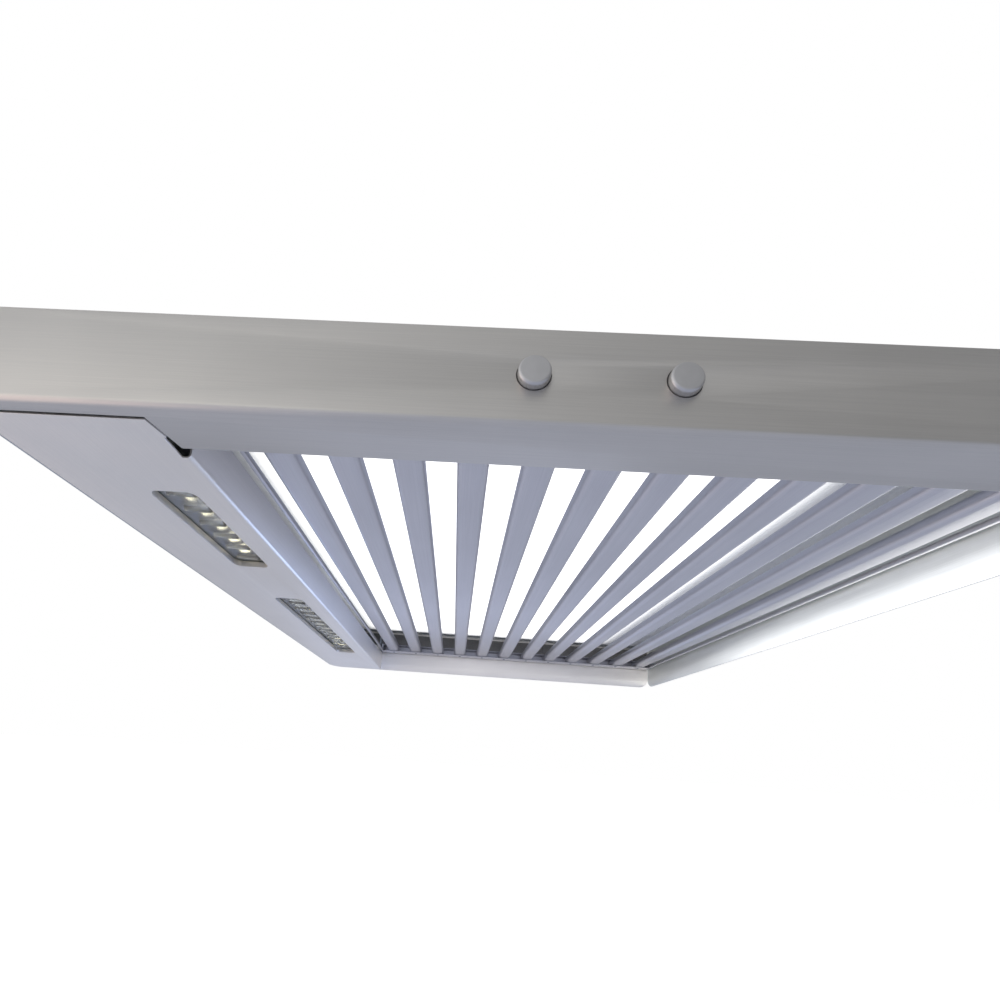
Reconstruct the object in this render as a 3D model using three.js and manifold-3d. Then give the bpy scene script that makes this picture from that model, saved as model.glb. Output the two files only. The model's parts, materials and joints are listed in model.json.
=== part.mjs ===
// Under cabinet range hood, in millimetres: +X to the right, +Y to the wall, +Z up.
// The origin is the middle of the top face, which is screwed to the underside of a cabinet.
import * as THREE from 'three';
import { mergeVertices } from 'three/addons/utils/BufferGeometryUtils.js';
import Module from 'manifold-3d';

const wasm = await Module();
wasm.setup();

// Body
const WIDTH = 606;
const DEPTH = 559;
const HEIGHT = 152;
const SHEET = 1.2;
const GAP = 0.3; // left between two pieces that touch
const THROUGH = SHEET * 4; // length of a tool that cuts right through a sheet
const FASCIA_HEIGHT = 48;
const FOLD_RADIUS = 2.6;
const LIP_DEPTH = 25;
const SLOPE_RUN = 92; // how far back the slanted front panel leans
const REAR_CORNER_RADIUS = 16;

// Lamp box, along the left end
const LAMP_BOX_WIDTH = 95;
const LAMP_LEDGE = 7; // depth of the lip left in front of the lamp panel
const LAMP_SEAM = 1.4;
const LAMP_CORNER_SLANT = 5;
const BEND_RELIEF = 6.5; // notch that frees the folded wall at the front corner
const LAMP_COVER_RISE = 29;
const WINDOW_CENTRE = 62; // from the left end of the hood
const WINDOW_WIDTH = 30;
const WINDOW_CORNER = 6;
const WINDOW_RIM_HEIGHT = 5;
const WINDOW_RIM_WALL = 1;
const LAMP_WINDOWS = [
  { name: 'front', start: 60, length: 95, leds: 6 },
  { name: 'rear', start: 222, length: 218, leds: 14 },
];
const LENS_OVERLAP = 4; // how far the lens plate reaches past its window
const LENS_THICKNESS = 2;
const LENS_STRIP_WIDTH = 17;
const LENS_RIB_DEPTH = 2.5;
const BOARD_WIDTH = 18;
const BOARD_THICKNESS = 1.6;
const BOARD_RISE = 7; // air between lens and board
const LED_SIZE = 4;
const LED_HEIGHT = 1.5;
const DRIVER = { length: 110, width: 42, height: 22, start: 300 };

// Baffle filter
const BAFFLE_RISE = 34.5; // underside of the slats above the bottom rim
const FILTER_SIDE_CLEARANCE = 2.2;
const FILTER_RIGHT_ROOM = 5.3;
const FILTER_FRONT_CLEARANCE = 3;
const FILTER_BACK_CLEARANCE = 2.5;
const RAIL_SHEET = 0.8;
const RAIL_DEPTH = 16;
const SIDE_RAIL = 3;
const SIDE_RAIL_END = 18; // full height beside the cross rails
const SIDE_RAIL_WAIST = 4; // height between the ends
const SLAT_COUNT = 12;
const SLAT_WIDTH = 20.6;
const SLAT_HEIGHT = 10;
const SLAT_CORNER = 3;
const SLAT_ENTRY = 10; // length of a slat's end inside its rail
const FIRST_GAP = 9.5; // opening beside the left side rail
const LAST_GAP = 6;
const PIN_RADIUS = 2;
const PIN_CLEARANCE = 0.3;
const PIN_HEAD_RADIUS = 3.5;
const PIN_HEAD_LENGTH = 1.5;
const EAR_SHEET = 1.5;
const EAR_GAP = 1.2;
const EAR_LENGTH = 26;
const EAR_FOOT = 16;
const EAR_FOOT_HEIGHT = 12;
const CATCH_WIDTH = 30;
const CATCH_OFFSET = 150; // each catch from the middle of the filter
const CATCH_CLEARANCE = 0.9; // shelf to filter
const MAGNET_LENGTH = 11;

// Grease mat and its frame
const MAT_CLEARANCE = 31; // slats to mat
const MAT_THICKNESS = 8;
const MAT_FRAME_BAR = 12;
const MAT_FRAME_SHEET = 1.2;

// Blower
const FAN_RADIUS = 85;
const FAN_CLEARANCE = 7;
const FAN_FLOOR = 7; // deck to wheel
const FAN_HEAD_ROOM = 6; // wheel to scroll cover
const BLADE_COUNT = 28;
const BLADE_DEPTH = 14;
const BLADE_SHEET = 1.2;
const BLADE_ANGLE = 0.55;
const RING_HEIGHT = 2.4; // of the ring that holds the blades' lower ends
const HUB_RISE = 11.9; // wheel's lower rim to the top of its hub
const HUB_THICKNESS = 2.4;
const SCROLL_GROWTH = 38;
const SCROLL_TONGUE_ANGLE = 0.9;
const SCROLL_STEPS = 40;
const COVER_HEAD_ROOM = 4; // scroll cover to top panel
const MOTOR_RADIUS = 40;
const MOTOR_FLANGE = 9;
const MOTOR_BEVEL = 3;
const MOTOR_CLEARANCE = 4;
const SHAFT_RADIUS = 4;
const SHAFT_LENGTH = 12; // below the motor
const SHAFT_CLEARANCE = 0.05;
const INLET_RADIUS = 62;
const INLET_FLARE = 12;
const INLET_SHEET = 1.5;
const CAPACITOR = { radius: 15, length: 62, gap: 30 };

// Duct collar and its damper
const COLLAR_LENGTH = 254;
const COLLAR_WIDTH = 83;
const COLLAR_HEIGHT = 25;
const COLLAR_FLANGE = 10;
const COLLAR_SETBACK = 20;
const FLAP_SHEET = 1;
const FLAP_CLEARANCE = 1.5;
const FLAP_HEIGHT = 6; // hinge line above the top panel
const FLAP_BARREL = 2.6;
const FLAP_PIN = 1.5;

// Controls
const BUTTON_RADIUS = 7.5;
const BUTTON_CLEARANCE = 0.4;
const BUTTON_PROUD = 3;
const BUTTON_SPACING = 66.4;
const BUTTON_HEIGHT = 24.2; // above the bottom rim
const BUTTON_FLANGE = 1.6;
const BUTTON_STEM = 3;
const BUTTON_BEVEL = 0.8;
const BUTTON_TRAVEL = 2.5;
const STEM_INSIDE = 5; // of the button's stem, within its switch
const SWITCH_SIZE = 16;
const SWITCH_LENGTH = 15;
const SWITCH_START = 10; // behind the front face
const BRACKET_REACH = 20; // past each button's centre

// Wiring
const WIRING_BOX = { width: 90, length: 96, inset: 12 };
const TERMINAL = { width: 46, length: 20, height: 16, poles: 4 };
const GLAND_RADIUS = 10;
const GLAND_FLANGE = 4;
const GLAND_RISE = 9;
const GLAND_BORE = 5;
const GLAND_NOSE = 8;
const KEYHOLE = { head: 6, slot: 3, run: 12, side: 58, front: 60, pitch: 240 };

// Places worked out from the sizes
const LEFT = -WIDTH / 2;
const RIGHT = WIDTH / 2;
const FRONT = -DEPTH / 2;
const BACK = DEPTH / 2;
const RIM = -HEIGHT;
const INNER_RIGHT = RIGHT - SHEET - GAP;
const INNER_LEFT = -INNER_RIGHT;
const INNER_BACK = BACK - SHEET - GAP;
const FASCIA_TOP = RIM + FASCIA_HEIGHT;
const SLOPE_LEAN = SLOPE_RUN / (HEIGHT - FASCIA_HEIGHT);
const SLOPE_THICKNESS = SHEET * Math.hypot(SLOPE_LEAN, 1);
const TOP_FRONT = slopeInside(0) + GAP;
const LAMP_RIGHT = LEFT + LAMP_BOX_WIDTH;
const LAMP_COVER = RIM + LAMP_COVER_RISE;
const WINDOW_X = LEFT + WINDOW_CENTRE;
const SLAT_BOTTOM = RIM + BAFFLE_RISE;
const RAIL_BOTTOM = SLAT_BOTTOM - RAIL_SHEET - GAP;
const RAIL_TOP = SLAT_BOTTOM + SLAT_HEIGHT + RAIL_SHEET + GAP;
const FILTER_LEFT = LAMP_RIGHT + FILTER_SIDE_CLEARANCE;
const FILTER_RIGHT = RIGHT - SHEET - FILTER_RIGHT_ROOM;
const FILTER_FRONT = FRONT + LIP_DEPTH + FILTER_FRONT_CLEARANCE;
const FILTER_BACK = INNER_BACK - FILTER_BACK_CLEARANCE;
const PIVOT_Y = FILTER_BACK - RAIL_DEPTH / 2;
const PIVOT_Z = (RAIL_BOTTOM + RAIL_TOP) / 2;
const MAT_BOTTOM = SLAT_BOTTOM + SLAT_HEIGHT + MAT_CLEARANCE;
const DECK_BOTTOM = MAT_BOTTOM + MAT_THICKNESS + GAP;
const DECK_TOP = DECK_BOTTOM + SHEET;
const COVER_TOP = -SHEET - COVER_HEAD_ROOM;
const COVER_BOTTOM = COVER_TOP - SHEET;
const COLLAR_Y = BACK - COLLAR_SETBACK - COLLAR_WIDTH / 2;
const DISCHARGE_FRONT = COLLAR_Y - COLLAR_WIDTH / 2 - SHEET;
const TONGUE_RADIUS = FAN_RADIUS + FAN_CLEARANCE;
const SCROLL_RADIUS = TONGUE_RADIUS + SCROLL_GROWTH;
const FAN_Y = DISCHARGE_FRONT - SCROLL_RADIUS;
const WHEEL_BOTTOM = DECK_TOP + FAN_FLOOR;
const WHEEL_TOP = COVER_BOTTOM - FAN_HEAD_ROOM;
const HUB_TOP = WHEEL_BOTTOM + HUB_RISE;
const MOTOR_BOTTOM = HUB_TOP + MOTOR_CLEARANCE;
const FLAP_Y = COLLAR_Y + COLLAR_WIDTH / 2 - SHEET - FLAP_CLEARANCE - FLAP_BARREL;
const BUTTON_Z = RIM + BUTTON_HEIGHT;
const SWITCH_FRONT = FRONT + SWITCH_START;
const SWITCH_BACK = SWITCH_FRONT + SWITCH_LENGTH;
const WIRING_X = INNER_LEFT + WIRING_BOX.inset + WIRING_BOX.width / 2;
const WIRING_Y = INNER_BACK - WIRING_BOX.inset - WIRING_BOX.length / 2;

// Finishes
const BRUSHED = { color: 0xb9bab5, roughness: 0.4, metalness: 0.9 };
const SATIN = { color: 0xa9aebb, roughness: 0.45, metalness: 0.8 };
const GALVANISED = { color: 0xb4b8ba, roughness: 0.55, metalness: 0.8 };
const SLAT_SATIN = { color: 0xaab2c0, roughness: 0.4, metalness: 0.8 };
const DARK_PLASTIC = { color: 0x26282a, roughness: 0.6, metalness: 0 };
const WHITE_PLASTIC = { color: 0xe8e8e4, roughness: 0.5, metalness: 0 };
const FLEECE = { color: 0xf4f4f1, roughness: 0.95, metalness: 0 };
const CLEAR = { color: 0xd9d9cf, roughness: 0.2, metalness: 0 };
const BOARD = { color: 0xe6e6dc, roughness: 0.6, metalness: 0 };
const DARK_METAL = { color: 0x55585c, roughness: 0.5, metalness: 0.7 };

// y of the inside face of the slanted front panel at height z
function slopeInside(z) {
  return FRONT + SLOPE_LEAN * (z - FASCIA_TOP) + SLOPE_THICKNESS;
}

function piece(name, geometry, finish) {
  const mesh = new THREE.Mesh(geometry, new THREE.MeshStandardMaterial(finish));
  mesh.name = name;
  return mesh;
}

function at(mesh, x, y, z) {
  mesh.position.set(x, y, z);
  return mesh;
}

function block(x0, x1, y0, y1, z0, z1) {
  const box = new THREE.BoxGeometry(x1 - x0, y1 - y0, z1 - z0);
  return box.translate((x0 + x1) / 2, (y0 + y1) / 2, (z0 + z1) / 2);
}

function polygon(points) {
  return new THREE.Shape(points.map(([a, b]) => new THREE.Vector2(a, b)));
}

function roundedRectangle(width, length, radius) {
  const x = width / 2 - radius;
  const y = length / 2 - radius;
  const shape = new THREE.Shape();
  shape.absarc(x, y, radius, 0, Math.PI / 2);
  shape.absarc(-x, y, radius, Math.PI / 2, Math.PI);
  shape.absarc(-x, -y, radius, Math.PI, Math.PI * 1.5);
  shape.absarc(x, -y, radius, Math.PI * 1.5, Math.PI * 2);
  shape.closePath();
  return shape;
}

// The three extrusions name the axis that the shape is pushed along.
function extrude(shape, length, curveSegments = 4) {
  return new THREE.ExtrudeGeometry(shape, { depth: length, bevelEnabled: false, curveSegments });
}

function alongX(shape, x0, x1, curveSegments) {
  const turn = new THREE.Matrix4().makeBasis(
    new THREE.Vector3(0, 1, 0),
    new THREE.Vector3(0, 0, 1),
    new THREE.Vector3(1, 0, 0),
  );
  return extrude(shape, x1 - x0, curveSegments).applyMatrix4(turn).translate(x0, 0, 0);
}

function alongY(shape, y0, y1, curveSegments) {
  return extrude(shape, y1 - y0, curveSegments).rotateX(Math.PI / 2).translate(0, y1, 0);
}

function alongZ(shape, z0, z1, curveSegments) {
  return extrude(shape, z1 - z0, curveSegments).translate(0, 0, z0);
}

function rod(radius, length, segments) {
  return new THREE.CylinderGeometry(radius, radius, length, segments);
}

// A turned piece about Z; the profile lists [radius, height] from bottom to top.
function turned(profile, segments) {
  const points = profile.map(([radius, height]) => new THREE.Vector2(radius, height));
  return new THREE.LatheGeometry(points, segments).rotateX(Math.PI / 2);
}

function toSolid(geometry) {
  const bare = geometry.clone();
  bare.deleteAttribute('normal');
  bare.deleteAttribute('uv');
  const merged = mergeVertices(bare, 1e-4);
  return new wasm.Manifold(new wasm.Mesh({
    numProp: 3,
    vertProperties: new Float32Array(merged.attributes.position.array),
    triVerts: new Uint32Array(merged.index.array),
  }));
}

function toGeometry(solid) {
  const mesh = solid.getMesh();
  const geometry = new THREE.BufferGeometry();
  geometry.setAttribute('position', new THREE.BufferAttribute(mesh.vertProperties, 3));
  geometry.setIndex(new THREE.BufferAttribute(mesh.triVerts, 1));
  const flat = geometry.toNonIndexed();
  flat.computeVertexNormals();
  return flat;
}

function join(...geometries) {
  return toGeometry(geometries.map(toSolid).reduce((all, next) => all.add(next)));
}

function cut(base, ...tools) {
  return toGeometry(tools.map(toSolid).reduce((left, tool) => left.subtract(tool), toSolid(base)));
}

// ---- body panels ----

// Where the lip gives way to the lamp panel: its end is slanted, and runs on to y = back.
function lampNotch(back) {
  const y0 = FRONT + LAMP_LEDGE;
  const y1 = FRONT + LIP_DEPTH;
  const slant = LAMP_CORNER_SLANT / (y1 - y0);
  return polygon([
    [LEFT - SHEET, y0],
    [LAMP_RIGHT - LAMP_CORNER_SLANT, y0],
    [LAMP_RIGHT + slant * (back - y1), back],
    [LEFT - SHEET, back],
  ]);
}

function fascia() {
  const inside = FOLD_RADIUS - SHEET;
  const profile = new THREE.Shape();
  profile.moveTo(FRONT, FASCIA_TOP);
  profile.lineTo(FRONT, RIM + FOLD_RADIUS);
  profile.absarc(FRONT + FOLD_RADIUS, RIM + FOLD_RADIUS, FOLD_RADIUS, Math.PI, Math.PI * 1.5);
  profile.lineTo(FRONT + LIP_DEPTH, RIM);
  profile.lineTo(FRONT + LIP_DEPTH, RIM + SHEET);
  profile.absarc(FRONT + FOLD_RADIUS, RIM + FOLD_RADIUS, inside, Math.PI * 1.5, Math.PI, true);
  profile.lineTo(FRONT + SHEET, FASCIA_TOP);
  const bent = alongX(profile, INNER_LEFT, INNER_RIGHT);
  const notch = alongZ(lampNotch(FRONT + LIP_DEPTH + SHEET), RIM - SHEET, RIM + FOLD_RADIUS);
  const hole = rod(BUTTON_RADIUS + BUTTON_CLEARANCE, THROUGH, 32).translate(0, FRONT, BUTTON_Z);
  const holes = [-1, 1].map((side) => hole.clone().translate(side * BUTTON_SPACING / 2, 0, 0));
  return piece('fascia', cut(bent, notch, ...holes), BRUSHED);
}

function slopePanel() {
  const bottom = FASCIA_TOP + GAP;
  const outline = polygon([
    [slopeInside(bottom) - SLOPE_THICKNESS, bottom],
    [slopeInside(bottom), bottom],
    [slopeInside(0), 0],
    [slopeInside(0) - SLOPE_THICKNESS, 0],
  ]);
  return piece('slope_panel', alongX(outline, INNER_LEFT, INNER_RIGHT), BRUSHED);
}

function sidePanel(name, x0) {
  const outline = new THREE.Shape();
  outline.moveTo(FRONT, FASCIA_TOP);
  outline.lineTo(FRONT, RIM);
  outline.absarc(BACK - REAR_CORNER_RADIUS, RIM + REAR_CORNER_RADIUS, REAR_CORNER_RADIUS,
    -Math.PI / 2, 0);
  outline.lineTo(BACK, 0);
  outline.lineTo(FRONT + SLOPE_RUN, 0);
  return piece(name, alongX(outline, x0, x0 + SHEET), BRUSHED);
}

function backPanel() {
  const outline = new THREE.Shape();
  const x = INNER_RIGHT - REAR_CORNER_RADIUS;
  const z = RIM + REAR_CORNER_RADIUS;
  outline.moveTo(INNER_RIGHT, 0);
  outline.lineTo(-INNER_RIGHT, 0);
  outline.absarc(-x, z, REAR_CORNER_RADIUS, Math.PI, Math.PI * 1.5);
  outline.absarc(x, z, REAR_CORNER_RADIUS, -Math.PI / 2, 0);
  return piece('back_panel', alongY(outline, BACK - SHEET, BACK), SATIN);
}

function keyhole(x, y) {
  const head = rod(KEYHOLE.head, THROUGH, 16).rotateX(Math.PI / 2).translate(x, y, 0);
  const slot = block(x - KEYHOLE.slot, x + KEYHOLE.slot, y, y + KEYHOLE.run, -SHEET * 2, SHEET);
  return [head, slot];
}

function topPanel() {
  const plate = block(INNER_LEFT, INNER_RIGHT, TOP_FRONT, INNER_BACK, -SHEET, 0);
  const halfLength = COLLAR_LENGTH / 2 - SHEET;
  const halfWidth = COLLAR_WIDTH / 2 - SHEET;
  const duct = block(-halfLength, halfLength, COLLAR_Y - halfWidth, COLLAR_Y + halfWidth,
    -SHEET * 2, SHEET);
  const gland = rod(GLAND_RADIUS + GAP, THROUGH, 24).rotateX(Math.PI / 2)
    .translate(WIRING_X, WIRING_Y, 0);
  const keyholes = [-1, 1].flatMap((side) => [0, 1].flatMap((row) => keyhole(
    side * (WIDTH / 2 - KEYHOLE.side),
    TOP_FRONT + KEYHOLE.front + row * KEYHOLE.pitch,
  )));
  return piece('top_panel', cut(plate, duct, gland, ...keyholes), GALVANISED);
}

// ---- lamp box ----

function windowMiddle(lamp) {
  return FRONT + lamp.start + lamp.length / 2;
}

function windowPrism(lamp, grow, z0, z1) {
  const width = WINDOW_WIDTH + 2 * grow;
  const shape = roundedRectangle(width, lamp.length + 2 * grow, WINDOW_CORNER + grow);
  return alongZ(shape, z0, z1, 8).translate(WINDOW_X, windowMiddle(lamp), 0);
}

function lampPanel() {
  const front = FRONT + LAMP_LEDGE + LAMP_SEAM;
  const wallTop = LAMP_COVER + SHEET + GAP;
  const inside = FOLD_RADIUS - SHEET;
  const profile = new THREE.Shape();
  profile.moveTo(INNER_LEFT, RIM + SHEET);
  profile.lineTo(INNER_LEFT, RIM);
  profile.absarc(LAMP_RIGHT - FOLD_RADIUS, RIM + FOLD_RADIUS, FOLD_RADIUS, -Math.PI / 2, 0);
  profile.lineTo(LAMP_RIGHT, wallTop);
  profile.lineTo(LAMP_RIGHT - SHEET, wallTop);
  profile.absarc(LAMP_RIGHT - FOLD_RADIUS, RIM + FOLD_RADIUS, inside, 0, -Math.PI / 2, true);
  const bent = alongY(profile, front, INNER_BACK);
  const rimTop = RIM + WINDOW_RIM_HEIGHT;
  const rims = LAMP_WINDOWS.map((lamp) => windowPrism(lamp, WINDOW_RIM_WALL, RIM, rimTop));
  const openings = LAMP_WINDOWS.map((lamp) => windowPrism(lamp, 0, RIM - SHEET, rimTop + SHEET));
  const corners = [frontCornerCutter(), reliefCutter(), rearCornerCutter()];
  return piece('lamp_panel', cut(join(bent, ...rims), ...openings, ...corners), SATIN);
}

// Takes the fold and wall away beside the lip, so that the panel's corner follows the notch.
function frontCornerCutter() {
  const y0 = FRONT + LAMP_LEDGE;
  const y1 = FRONT + LIP_DEPTH;
  const slant = LAMP_CORNER_SLANT / (y1 - y0);
  const y2 = FILTER_FRONT;
  const outline = polygon([
    [LAMP_RIGHT - LAMP_CORNER_SLANT - LAMP_SEAM, y0],
    [LAMP_RIGHT - LAMP_SEAM + slant * (y2 - y1), y2],
    [LAMP_RIGHT + SHEET, y2],
    [LAMP_RIGHT + SHEET, y0],
  ]);
  return alongZ(outline, RIM - SHEET, SLAT_BOTTOM);
}

function reliefCutter() {
  const x0 = LAMP_RIGHT - LAMP_SEAM - BEND_RELIEF / 2;
  const y1 = FRONT + LIP_DEPTH + BEND_RELIEF;
  return block(x0, LAMP_RIGHT + SHEET, y1 - BEND_RELIEF * 2, y1, RIM - SHEET, RIM + BEND_RELIEF);
}

function rearCornerCutter() {
  const radius = REAR_CORNER_RADIUS;
  const outline = new THREE.Shape();
  outline.moveTo(INNER_LEFT - SHEET, INNER_BACK + SHEET);
  outline.lineTo(INNER_LEFT - SHEET, INNER_BACK - radius);
  outline.lineTo(INNER_LEFT, INNER_BACK - radius);
  outline.absarc(INNER_LEFT + radius, INNER_BACK - radius, radius, Math.PI, Math.PI / 2, true);
  outline.lineTo(INNER_LEFT + radius, INNER_BACK + SHEET);
  return alongZ(outline, RIM - SHEET, RIM + SHEET * 2);
}

function lampLens(lamp) {
  const bottom = RIM + WINDOW_RIM_HEIGHT + GAP;
  const plate = windowPrism(lamp, LENS_OVERLAP, bottom, bottom + LENS_THICKNESS);
  const pitch = lamp.length / lamp.leds;
  const half = LENS_STRIP_WIDTH / 2;
  const ribs = Array.from({ length: lamp.leds }, (unused, index) => {
    const y = FRONT + lamp.start + pitch * (index + 0.5);
    return rod(LENS_RIB_DEPTH, LENS_STRIP_WIDTH, 12).rotateZ(Math.PI / 2)
      .translate(WINDOW_X, y, bottom);
  });
  const above = block(-half - SHEET, half + SHEET, 0, lamp.length, 0, LENS_RIB_DEPTH * 2)
    .translate(WINDOW_X, FRONT + lamp.start, bottom + LENS_THICKNESS / 2);
  return piece(`lamp_lens_${lamp.name}`, join(plate, cut(join(...ribs), above)), CLEAR);
}

function lampBoard(lamp) {
  const bottom = RIM + WINDOW_RIM_HEIGHT + GAP + LENS_THICKNESS + BOARD_RISE;
  const x = WINDOW_X;
  const half = BOARD_WIDTH / 2;
  const y0 = FRONT + lamp.start;
  const board = block(x - half, x + half, y0, y0 + lamp.length, bottom, bottom + BOARD_THICKNESS);
  const pitch = lamp.length / lamp.leds;
  const chips = Array.from({ length: lamp.leds }, (unused, index) => {
    const y = y0 + pitch * (index + 0.5);
    return block(x - LED_SIZE / 2, x + LED_SIZE / 2, y - LED_SIZE / 2, y + LED_SIZE / 2,
      bottom - LED_HEIGHT, bottom + BOARD_THICKNESS / 2);
  });
  return piece(`lamp_board_${lamp.name}`, join(board, ...chips), BOARD);
}

function lampCover() {
  const x1 = LAMP_RIGHT - SHEET - GAP;
  const plate = block(INNER_LEFT, x1, FILTER_FRONT, INNER_BACK, LAMP_COVER, LAMP_COVER + SHEET);
  return piece('lamp_cover', plate, GALVANISED);
}

function lampDriver() {
  const x = INNER_LEFT + LAMP_BOX_WIDTH / 2;
  const y0 = FRONT + DRIVER.start;
  const bottom = LAMP_COVER + SHEET + GAP;
  const half = DRIVER.width / 2;
  const body = block(x - half, x + half, y0, y0 + DRIVER.length, bottom, bottom + DRIVER.height);
  return piece('lamp_driver', body, WHITE_PLASTIC);
}

// ---- baffle filter ----

function channel(depth, height, sheet) {
  return polygon([
    [0, 0],
    [depth, 0],
    [depth, sheet],
    [sheet, sheet],
    [sheet, height - sheet],
    [depth, height - sheet],
    [depth, height],
    [0, height],
  ]);
}

function crossRail(name, y, turn) {
  const x0 = FILTER_LEFT + SIDE_RAIL + GAP;
  const x1 = FILTER_RIGHT - SIDE_RAIL - GAP;
  const height = RAIL_TOP - RAIL_BOTTOM;
  const half = (x1 - x0) / 2;
  const rail = alongX(channel(RAIL_DEPTH, height, RAIL_SHEET), -half, half).rotateZ(turn);
  return at(piece(name, rail, SLAT_SATIN), (x0 + x1) / 2, y, RAIL_BOTTOM);
}

function sideRail(name, x0) {
  const bar = block(x0, x0 + SIDE_RAIL, FILTER_FRONT, FILTER_BACK, RAIL_BOTTOM, RAIL_TOP);
  const hole = rod(PIN_RADIUS + PIN_CLEARANCE, THROUGH + SIDE_RAIL, 16).rotateZ(Math.PI / 2)
    .translate(x0 + SIDE_RAIL / 2, PIVOT_Y, PIVOT_Z);
  const waist = block(x0 - SHEET, x0 + SIDE_RAIL + SHEET, FILTER_FRONT + SIDE_RAIL_END,
    FILTER_BACK - SIDE_RAIL_END, RAIL_BOTTOM + SIDE_RAIL_WAIST, RAIL_TOP + SHEET);
  return piece(name, cut(bar, hole, waist), SLAT_SATIN);
}

function slatGeometry() {
  const half = SLAT_WIDTH / 2;
  const radius = SLAT_CORNER;
  const inside = SLAT_CORNER - RAIL_SHEET;
  const profile = new THREE.Shape();
  profile.moveTo(-half + RAIL_SHEET, SLAT_HEIGHT);
  profile.lineTo(-half, SLAT_HEIGHT);
  profile.absarc(-half + radius, radius, radius, Math.PI, Math.PI * 1.5);
  profile.absarc(half - radius, radius, radius, -Math.PI / 2, 0);
  profile.lineTo(half, SLAT_HEIGHT);
  profile.lineTo(half - RAIL_SHEET, SLAT_HEIGHT);
  profile.absarc(half - radius, radius, inside, 0, -Math.PI / 2, true);
  profile.absarc(-half + radius, radius, inside, -Math.PI / 2, -Math.PI, true);
  const setIn = RAIL_DEPTH - SLAT_ENTRY;
  return alongY(profile, FILTER_FRONT + setIn, FILTER_BACK - setIn);
}

function slats() {
  const first = FILTER_LEFT + SIDE_RAIL + FIRST_GAP + SLAT_WIDTH / 2;
  const last = FILTER_RIGHT - SIDE_RAIL - LAST_GAP - SLAT_WIDTH / 2;
  const pitch = (last - first) / (SLAT_COUNT - 1);
  return Array.from({ length: SLAT_COUNT }, (unused, index) => {
    const number = String(index + 1).padStart(2, '0');
    const slat = piece(`baffle_slat_${number}`, slatGeometry(), SLAT_SATIN);
    return at(slat, first + index * pitch, 0, SLAT_BOTTOM);
  });
}

// A shouldered rivet: its head is inside the side rail and its end turns in the ear.
function filterPin(name, face, side) {
  const length = SIDE_RAIL + EAR_GAP + EAR_SHEET + PIN_HEAD_LENGTH * 2;
  const profile = [
    [0, -PIN_HEAD_LENGTH],
    [PIN_HEAD_RADIUS, -PIN_HEAD_LENGTH],
    [PIN_HEAD_RADIUS, 0],
    [PIN_RADIUS, 0],
    [PIN_RADIUS, length - PIN_HEAD_LENGTH],
    [0, length - PIN_HEAD_LENGTH],
  ];
  const pin = turned(profile, 16).rotateY(side * Math.PI / 2);
  return at(piece(name, pin, DARK_METAL), face - side * (SIDE_RAIL + GAP), PIVOT_Y, PIVOT_Z);
}

function hingeEar(name, face, side) {
  const near = face + side * EAR_GAP;
  const far = near + side * EAR_SHEET;
  const x0 = Math.min(near, far);
  const x1 = Math.max(near, far);
  const y0 = INNER_BACK - EAR_LENGTH;
  const footBottom = RAIL_TOP + EAR_FOOT_HEIGHT / 2;
  const top = footBottom + EAR_FOOT_HEIGHT;
  const plate = block(x0, x1, y0, INNER_BACK, RAIL_BOTTOM, top);
  const footEnd = far - side * EAR_FOOT;
  const foot = block(Math.min(far, footEnd), Math.max(far, footEnd),
    INNER_BACK - EAR_SHEET, INNER_BACK, footBottom, top);
  const hole = rod(PIN_RADIUS + PIN_CLEARANCE, THROUGH, 16).rotateZ(Math.PI / 2)
    .translate(near, PIVOT_Y, PIVOT_Z);
  return piece(name, cut(join(plate, foot), hole), GALVANISED);
}

function catchBracket(name, x) {
  const bottom = SLAT_BOTTOM - SHEET - GAP;
  const y0 = FRONT + SHEET + GAP;
  const leg = block(x - CATCH_WIDTH / 2, x + CATCH_WIDTH / 2, y0, y0 + SHEET,
    bottom - MAGNET_LENGTH, bottom + SHEET);
  const shelf = block(x - CATCH_WIDTH / 2, x + CATCH_WIDTH / 2, y0, FILTER_FRONT - CATCH_CLEARANCE,
    bottom, bottom + SHEET);
  return piece(name, join(leg, shelf), GALVANISED);
}

function catchMagnet(name, x) {
  const half = CATCH_WIDTH / 2 - SHEET;
  const y1 = FILTER_FRONT - GAP;
  const magnet = block(x - half, x + half, y1 - MAGNET_LENGTH, y1,
    SLAT_BOTTOM, SLAT_BOTTOM + SLAT_HEIGHT);
  return piece(name, magnet, DARK_METAL);
}

// ---- grease mat ----

function matFrame() {
  const top = MAT_BOTTOM - GAP;
  const y0 = slopeInside(MAT_BOTTOM) + GAP;
  const ring = block(INNER_LEFT, INNER_RIGHT, y0, INNER_BACK, top - MAT_FRAME_SHEET, top);
  const hole = block(INNER_LEFT + MAT_FRAME_BAR, INNER_RIGHT - MAT_FRAME_BAR,
    y0 + MAT_FRAME_BAR, INNER_BACK - MAT_FRAME_BAR, top - SHEET * 2, top + SHEET);
  return piece('mat_frame', cut(ring, hole), GALVANISED);
}

function greaseMat() {
  const y0 = slopeInside(MAT_BOTTOM + MAT_THICKNESS) + GAP;
  const mat = block(INNER_LEFT, INNER_RIGHT, y0, INNER_BACK, MAT_BOTTOM, MAT_BOTTOM + MAT_THICKNESS);
  return piece('grease_mat', mat, FLEECE);
}

// ---- blower ----

function blowerDeck() {
  const y0 = slopeInside(DECK_TOP) + GAP;
  const plate = block(INNER_LEFT, INNER_RIGHT, y0, INNER_BACK, DECK_BOTTOM, DECK_TOP);
  const hole = rod(INLET_RADIUS + INLET_FLARE, THROUGH, 40).rotateX(Math.PI / 2)
    .translate(0, FAN_Y, DECK_BOTTOM);
  return piece('blower_deck', cut(plate, hole), GALVANISED);
}

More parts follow.
